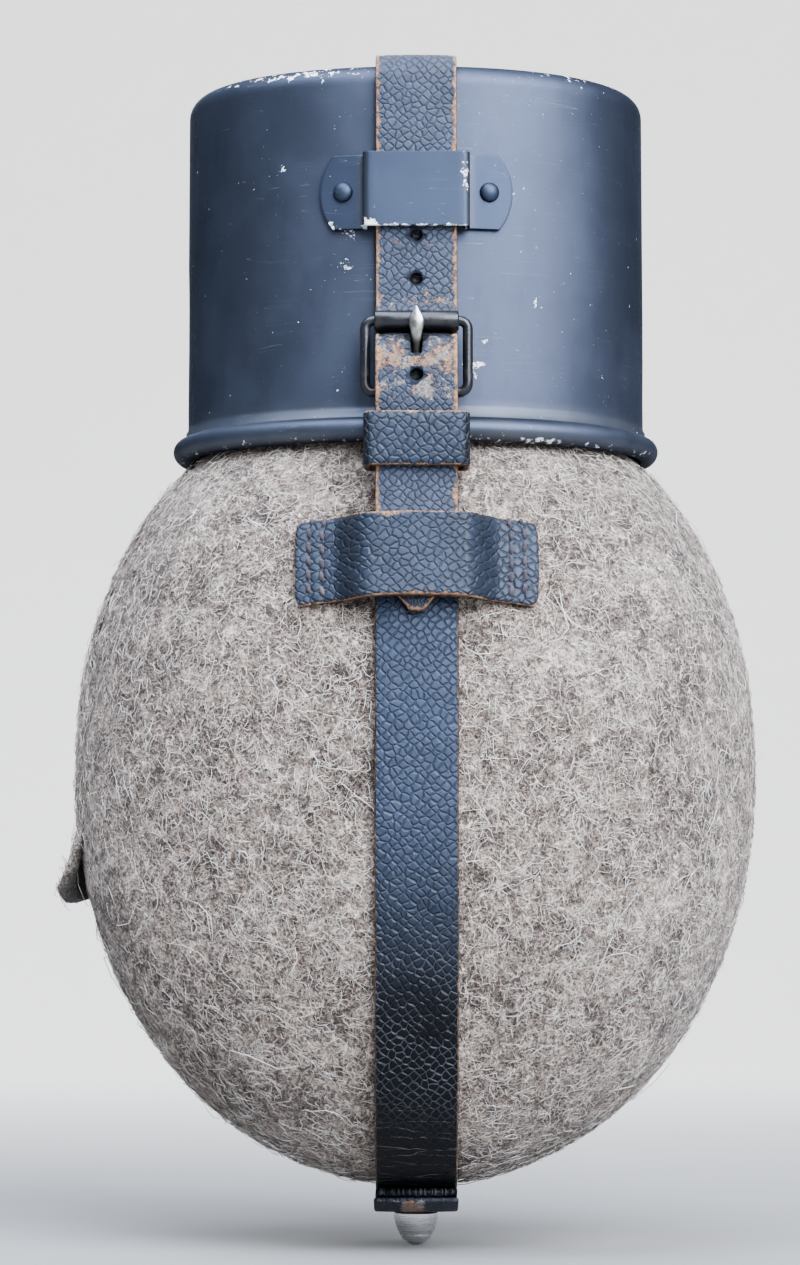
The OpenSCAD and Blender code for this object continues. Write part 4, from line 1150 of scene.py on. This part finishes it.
def sewn_loop(name, node, inner, tilt, side):
    """Band sewn to the felt at both ends by two rows of stitches, and raised over the straps between."""
    x = np.concatenate(
        [np.linspace(-LOOP_W / 2, -9, 26), np.linspace(-8.4, 8.4, 26), np.linspace(9, LOOP_W / 2, 26)]
    )[None, :]
    h = np.linspace(-LOOP_H / 2, LOOP_H / 2, 26)[:, None]
    x, h = np.broadcast_arrays(x, h)
    z = LOOP_Z + h
    half_w, half_h = LOOP_W / 2, LOOP_H / 2
    raised = inner + 1.0 - h * math.tan(math.radians(tilt)) + 0.25 * np.cos(x / 8.4 * 1.2)
    sewn = felt_depth(x, z, side) + 1.0
    t = np.clip((np.abs(x) - 8.8) / 7.2, 0, 1)
    t = t * t * (3 - 2 * t)
    depth = raised * (1 - t) + sewn * t + 0.12 * lumps(np.stack([x, h * 0, z], -1), 5.0, 2, 4.0)
    # The stitch rows are drawn down into the leather, and the free edges curl a little
    rows = [18.0, 20.6]
    for row in rows:
        depth = depth - 0.32 * bell(np.abs(x) - row, 0.55)
    depth = depth + 0.25 * (np.abs(h) / half_h) ** 6 * (1 - t)
    droop = 1.7 * (x / half_w) ** 2
    level = z - droop - 0.055 * h
    round_off = 1 - 0.035 * (np.abs(h) / half_h) ** 6
    shape = np.stack([x * round_off, side * depth, level], -1)
    normal = grid_normals(shape)
    normal *= np.sign(side * normal[..., 1:2])
    outer, under = shape + normal * 0.95, shape - normal * 0.95
    obj = outward(add_object(name, *shell(outer, under), BAND, "flask", node))
    edge = np.minimum(half_w - np.abs(x), half_h - np.abs(h)).ravel()
    top = np.where(edge < 0.01, -0.1, edge + 0.1)
    # Old rubbing shows along the upper left edge and the middle of the lower one
    sign = -side
    rubbed = 0.9 * bell(x * sign + 5, 4.5) * (h > 0) + 0.55 * bell(x * sign - 3, 8.0) * (h < 0)
    top = np.where(top > 0, top + 1.1 - 2.2 * rubbed.ravel(), top)
    hide_marks(
        obj, np.tile(h.ravel(), 2), np.tile(x.ravel(), 2),
        np.concatenate([top, np.where(edge < 0.01, -0.6, 1.0)]), 0.25
    )
    # Painted shade where the band bends down to the felt beside the straps.
    bend = 0.5 * bell(np.abs(x) - 12.5, 3.4)
    store(obj, "dark", np.tile(bend.ravel(), 2))
    stitches(name + "_stitches", outer, x, normal, rows)
    return obj


def stitches(name, outer, x, normal, rows):
    """Short fat threads in rows along the sewn ends."""
    rings_of = []
    count, length, radius = 6, 2.2, 0.44
    for row in rows:
        for s in (-1, 1):
            col = int(np.argmin(np.abs(x[0] - s * row)))
            for k in range(count):
                mid_z = LOOP_Z + (k - (count - 1) / 2) * 2.75 + (0.5 if row > 19 else 0)
                line = []
                for t in np.linspace(-1, 1, 7):
                    want = mid_z + t * length / 2
                    r = float(np.interp(want, outer[:, col, 2], np.arange(len(outer))))
                    a, f = int(r), r - int(r)
                    b = min(a + 1, len(outer) - 1)
                    p = outer[a, col] * (1 - f) + outer[b, col] * f
                    line.append(
                        p + normal[a, col] * (0.42 * (1 - t**4) - 0.12) + np.array([0.16 * t * s, 0, 0])
                    )
                rings_of.append((np.array(line), normal[int(r), col]))
    return tubes(name, rings_of, radius, "flask")


sewn_loop("front_sewn_loop", "front_loop", 45.1, 8.3, -1)
sewn_loop("back_sewn_loop", "back_loop", 41.9, 6.5, 1)


def keeper():
    """Sliding loop: a band bent round the straps, thick enough to show its cut edges."""
    half_x, half_y, mid_y, mid_z = 10.25, 4.5, -40.25, 156.5
    r = 1.6
    path = []
    for cx, cy, start in ((1, 1, 0), (-1, 1, 90), (-1, -1, 180), (1, -1, 270)):
        for a in np.radians(np.linspace(start, start + 90, 9)):
            path.append((cx * (half_x - r) + r * math.cos(a), cy * (half_y - r) + r * math.sin(a)))
    path = np.array(path + path[:1])
    even = np.linspace(0, run_along(path)[-1], 120, endpoint=False)
    path = at_runs(path, even)
    ahead = unit(np.roll(path, -1, 0) - np.roll(path, 1, 0))
    out = np.column_stack([ahead[:, 1], -ahead[:, 0]])
    thick, half_h, corner = 1.35, 5.3, 0.4
    section = (
        [(0.0, -half_h + corner)] + [(0.0, v) for v in np.linspace(-3.6, 3.6, 7)]
        + [(0.0, half_h - corner), (-corner, half_h), (-thick + 0.2, half_h)]
    )
    section += [
        (-thick, half_h - 0.2), (-thick, 0.0), (-thick, -half_h + 0.2), (-thick + 0.2, -half_h),
        (-corner, -half_h)
    ]
    rings, edges = [], []
    for p, o in zip(path, out):
        bulge = 0.18 * (abs(p[0]) < 9) * (p[1] < 0)
        waver = 0.12 * noise.noise(Vector((p[0] * 0.2, p[1] * 0.2, 2.0)))
        rings.append(
            [
                (
                    p[0] + o[0] * d, mid_y + p[1] + o[1] * (d + bulge * (1 - (h / half_h) ** 2)),
                    mid_z + h + waver
                )
                for d, h in section
            ]
        )
        edges += [
            min(half_h - abs(h), 4) + 0.2 if d == 0 else (-0.6 if abs(h) > 5 else 2.0) for d, h in section
        ]
    obj = outward(add_object("keeper_loop", *loft(rings, endless=True), BAND, "keeper", "strap_keeper"))
    hide_marks(obj, np.tile([h for _, h in section], len(path)), np.repeat(even, len(section)), edges, 0.22)
    # Painted shade on the keeper's ends, where it turns round the straps' edges.
    side_of = np.abs(points_of(obj)[:, 0])
    store(obj, "dark", np.clip((side_of - 8.6) / 0.8, 0, 1) * 0.8)


keeper()

# ---------- buckle ----------


def wire(name, path, radius, material, body, node, closed=True, n=16):
    """Round wire along a closed or open line of points."""
    path = np.asarray(path, float)
    ahead = unit((np.roll(path, -1, 0) - np.roll(path, 1, 0)) if closed else np.gradient(path, axis=0))
    flat = np.cross(path[1] - path[0], path[len(path) // 2] - path[0])
    flat = flat / np.linalg.norm(flat)
    rings = []
    for p, a in zip(path, ahead):
        side = np.cross(a, flat)
        rings.append([p + radius * (side * math.cos(w) + flat * math.sin(w)) for w in full_turn(n)])
    return outward(add_object(name, *loft(rings, endless=closed), material, body, node))


def rounded_path(half, height, low_r, high_r, y, z):
    """Closed upright rectangle with round corners, its low side at height z."""
    corners = (
        (half, 0, low_r, 270), (half, height, high_r, 0), (-half, height, high_r, 90), (-half, 0, low_r, 180)
    )
    points = []
    for x, h, r, start in corners:
        cx, ch = x - math.copysign(r, x), h + (r if h == 0 else -r)
        for a in np.radians(np.linspace(start, start + 90, 9)):
            points.append((cx + r * math.cos(a), y, z + ch + r * math.sin(a)))
    points.append(points[0])
    points = np.array(points)
    return at_runs(points, np.linspace(0, run_along(points)[-1], 150, endpoint=False))


wire(
    "buckle_wire", rounded_path(9.95, ROLLER[1] - BAR[1], 1.85, 1.6, BAR[0], BAR[1]), 1.0, ENAMEL, "flask",
    "buckle_frame"
)

def roller():
    """Rolled sleeve with a faint seam along it."""
    roller_profile = [
        [1.12, -8.0], [1.6, -8.2], [1.9, -8.15], [2.0, -7.9], [2.0, -4], [2.0, 0], [2.0, 4], [2.0, 7.9],
        [1.9, 8.15], [1.6, 8.2], [1.12, 8.0]
    ]
    roller_rings = roller_profile + [[1.12, 4], [1.12, 0], [1.12, -4]]
    angle = full_turn(40)
    seam = 1 - 0.06 * bell(np.degrees(angle) - 250, 6)
    rings = [
        [
            (h, ROLLER[0] + r * s * math.cos(a), ROLLER[1] + r * s * math.sin(a))
            for a, s in zip(angle, seam if r > 1.5 else np.ones(40))
        ]
        for r, h in roller_rings
    ]
    outward(add_object("roller_sleeve", *loft(rings, endless=True), ENAMEL, "roller", "buckle_roller"))


roller()


def prong():
    """Steel tongue: a coil round the bar, then a tapering shank with a faceted tip on the roller."""
    y, z = BAR
    line = smooth_route(
        [
            [y - 1.35, z + 1.0], [y - 1.75, z + 4], [y - 2.35, z + 9], [y - 3.0, z + 12],
            [y - 3.15, z + 14.6], [y - 3.0, z + 16.5]
        ],
        0.5
    )
    rings = []
    for i, p in enumerate(line):
        t = i / (len(line) - 1)
        wide = 1.05 + 0.5 * math.exp(-(((t - 0.80) / 0.11) ** 2)) - 0.85 * max(0, t - 0.86) / 0.14
        deep = 0.74 * (1 - 0.45 * max(0, t - 0.8) / 0.2)
        rings.append(
            [
                (
                    wide * math.copysign(abs(math.cos(a)) ** 0.8, math.cos(a)),
                    p[0] + deep * math.copysign(abs(math.sin(a)) ** 0.8, math.sin(a)), p[1]
                )
                for a in full_turn(16)
            ]
        )
    points, faces = loft(rings)
    angle = full_turn(32)
    coil = [
        [(h, y + r * math.cos(a), z + r * math.sin(a)) for a in angle]
        for r, h in ((1.1, -1.2), (1.7, -1.3), (1.95, -0.9), (1.95, 0.9), (1.7, 1.3), (1.1, 1.2))
    ]
    more, extra = loft(coil, endless=True)
    faces += [tuple(i + len(points) for i in f) for f in extra]
    obj = outward(
        add_object(
            "buckle_tongue", np.concatenate([points, more]), faces, PRONG_STEEL, "prong", "buckle_prong"
        )
    )
    # Painted shade on the shank's lower end, where it goes into the strap below the roller.
    store(obj, "metal_painted_shade", np.clip((177.2 - points_of(obj)[:, 2]) / 2.0, 0, 0.92))
    return obj


prong()

# ---------- stud under the bottle ----------

def knob():
    """Turned knob with fine tool lines, rounded below, and its shank through the straps."""
    stud = [[0.02, 0.0], [0.9, 0.12], [1.7, 0.42], [2.4, 0.9], [3.05, 1.6]]
    for k in range(15):
        h = 2.0 + k * 0.29
        r = 4.5 * math.sqrt(max(0.0, 1 - ((6.5 - h) / 6.5) ** 2))
        stud += [[r, h], [r - 0.05, h + 0.15]]
    stud += [
        [4.5, 6.36], [4.35, 6.5], [1.9, 6.5], [1.9, 12.3], [3.1, 12.35], [3.2, 12.6], [3.1, 13.1],
        [2.2, 13.3], [0.1, 13.3]
    ]
    lathe("base_knob", stud, STUD_METAL, "flask", "base_stud", n=64)


knob()

# ---------- cap tether, hanger and gate spring ----------


def tether():
    """Leather lead from the screw cap to a loop round the bottle's neck."""
    top = 192.2 + 0.2 + 0.75
    route = (
        [[-5, top], [2, top], [9, top]] + arc((17.0, top - 2.6), 2.6, 0, 90, 15)[::-1]
        + [[19.6, 188], [19.6, 184], [19.4, 177], [17.5, 174.6], [15.2, 174.5]]
    )
    obj = strap(
        "cap_tether_leather", [[p[0], p[1]] for p in route], "cap_tether", TETHER_HIDE, thick=1.5, width=8.0,
        crease=0.0
    )
    # The route above runs along X, so the strap is turned a quarter
    for v in obj.data.vertices:
        v.co = Vector((v.co.y, -v.co.x, v.co.z))
    cut(obj, rod((0, 0, 1), 2.15, 6, (0, 0, 193)))
    obj.parent = None
    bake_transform(obj)
    ring = [[13.75, -1.2], [15.1, -1.2], [15.25, -0.6], [15.25, 0.6], [15.1, 1.2], [13.75, 1.2], [13.7, 0.0]]
    angle = full_turn(72)
    rings = [[(r * math.cos(a), r * math.sin(a), 174.5 + h) for a in angle] for r, h in ring]
    outward(add_object("tether_neck_loop", *loft(rings, endless=True), TETHER_HIDE, "flask"))


tether()


def hanger():
    """Leather loop that joins the back band to the ring."""
    inner = [[41.6, 124], [41.0, 128.7], [40.6, 134], [40.0, 142.5], [40.2, 150], [40.7, 158]]
    bend = [
        [43.8 + 2.3 * math.cos(a), 163.5 + 2.3 * math.sin(a)] for a in np.radians(np.arange(180, -1, -22.5))
    ]
    outer = [[44.9, 158], [42.2, 150.5], [42.7, 147], [44.3, 142.2], [45.2, 134], [46.2, 125.6]]
    foot = [
        [43.9 + 2.3 * math.cos(a), 123.2 + 2.3 * math.sin(a)] for a in np.radians(np.arange(-10, -171, -32))
    ]
    route = inner + bend + outer + foot
    route = route[3:] + route[:3] + [[40.35, 138.0], [40.05, 141.6]]
    return strap("hanger_leather", route, "hanger_strap", STRAP_DULL, crease=0.1)


hanger()

def gate_leaf():
    """Flat spring that holds the snap hook's gate shut."""
    leaf = smooth_route([[3.2, 177.45], [4.9, 179.7], [6.6, 183.4], [7.2, 187], [7.3, 191]], 0.5)
    rings = []
    for i, p in enumerate(leaf):
        d = leaf[min(i + 1, len(leaf) - 1)] - leaf[max(i - 1, 0)]
        d /= np.linalg.norm(d)
        rings.append(
            [
                (p[0] + 0.2 * a * -d[1], 43.8 + b, p[1] + 0.2 * a * d[0])
                for a, b in ((1, -1), (1, 0), (1, 1), (-1, 1), (-1, 0), (-1, -1))
            ]
        )
    spring = outward(add_object("gate_leaf", *loft(rings), PRONG_STEEL, None, "gate_spring", smooth=False))
    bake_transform(spring)


gate_leaf()

# ---------- finishes of the CAD pieces that stay ----------

for node, material in {
    "bottle_shell": RAW_METAL, "screw_cap": RAW_METAL, "tether_rivet": STUD_METAL, "cap_gasket": RUBBER,
    "press_stud_caps": ENAMEL, "press_stud_sockets": PRONG_STEEL, "hanger_rivets": PRONG_STEEL,
    "hanger_ring": RAW_METAL, "snap_hook": RAW_METAL, "hook_gate": RAW_METAL, "gate_pin": PRONG_STEEL,
}.items():
    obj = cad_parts[node]
    obj.data.materials.clear()
    obj.data.materials.append(material)

# ---------- studio ----------


def paper_material():
    """Pale paper that glows a little further back, as if it had a lamp of its own."""
    s = Shader("studio_paper")
    place = s.place()
    grain = s.noise(place, 25.0, 3.0, 0.5)
    far = s.span(s.add("SeparateXYZ", {0: place}, output=1), 0.05, 0.9, 0.0, 0.95)
    tone = s.mix(grain, (0.28, 0.277, 0.272), (0.31, 0.307, 0.301))
    return s.finish(
        Base_Color=tone, Roughness=0.9, Normal=s.bump(grain, 0.2, 0.4), Emission_Color=(1.0, 0.99, 0.97),
        Emission_Strength=far
    )


def studio():
    """Floor and backdrop in one sheet, a sky, three soft lights and the camera."""
    depth, height, radius = 1400.0, 1500.0, 500.0
    side = [[-1300.0, -0.02]] + [
        [depth - radius + radius * math.sin(a), radius - radius * math.cos(a) - 0.02]
        for a in np.radians(np.linspace(0, 90, 13))
    ]
    side += [[depth, height]]
    xs = (-1300.0, 0.0, 1300.0)
    verts = [(x, y, z) for y, z in side for x in xs]
    faces = [
        (r * 3 + c, r * 3 + c + 1, r * 3 + c + 4, r * 3 + c + 3)
        for r in range(len(side) - 1)
        for c in range(2)
    ]
    add_object("studio_floor", verts, faces, paper_material(), None)
    world = bpy.data.worlds.new("studio")
    bpy.context.scene.world = world
    world.use_nodes = True
    nodes, links = world.node_tree.nodes, world.node_tree.links
    sky = nodes.new("ShaderNodeTexCoord")
    parts = nodes.new("ShaderNodeSeparateXYZ")
    ramp = nodes.new("ShaderNodeValToRGB")
    ramp.color_ramp.elements[0].position, ramp.color_ramp.elements[0].color = 0.05, (0.31, 0.313, 0.318, 1)
    ramp.color_ramp.elements[1].position, ramp.color_ramp.elements[1].color = 0.85, (0.42, 0.50, 0.63, 1)
    links.new(sky.outputs["Generated"], parts.inputs[0])
    links.new(parts.outputs["Z"], ramp.inputs[0])
    links.new(ramp.outputs[0], nodes["Background"].inputs[0])
    nodes["Background"].inputs[1].default_value = 1.0
    for name, place, size, power, colour in (
        ("key", (0.50, -0.88, 0.80), 1.0, 40.0, (0.92, 0.97, 1.08)),
        ("sky", (-0.25, -0.35, 1.30), 0.9, 20.0, (0.86, 0.95, 1.12)),
        ("back", (-0.4, 0.9, 0.9), 0.8, 8.0, (0.92, 0.96, 1.04)),
    ):
        light = bpy.data.lights.new(name, "AREA")
        light.energy, light.size, light.color = power, size, colour
        lamp = bpy.data.objects.new(name, light)
        bpy.context.scene.collection.objects.link(lamp)
        lamp.location = place
        lamp.rotation_euler = (Vector((0, 0, 0.12)) - Vector(place)).to_track_quat("-Z", "Y").to_euler()
    bpy.context.scene.view_settings.look = "AgX - Medium High Contrast"
    lens = bpy.data.cameras.new("camera")
    lens.sensor_fit, lens.sensor_width = "AUTO", 36.0
    lens.lens = 18.0 / math.tan(math.radians(22.39 / 2))
    lens.clip_start = 0.02
    camera = bpy.data.objects.new("camera", lens)
    bpy.context.scene.collection.objects.link(camera)
    camera.location = (-0.0032, -0.65, 0.060)
    camera.rotation_euler = (math.radians(90 + 5.56), 0, 0)
    bpy.context.scene.camera = camera


studio()
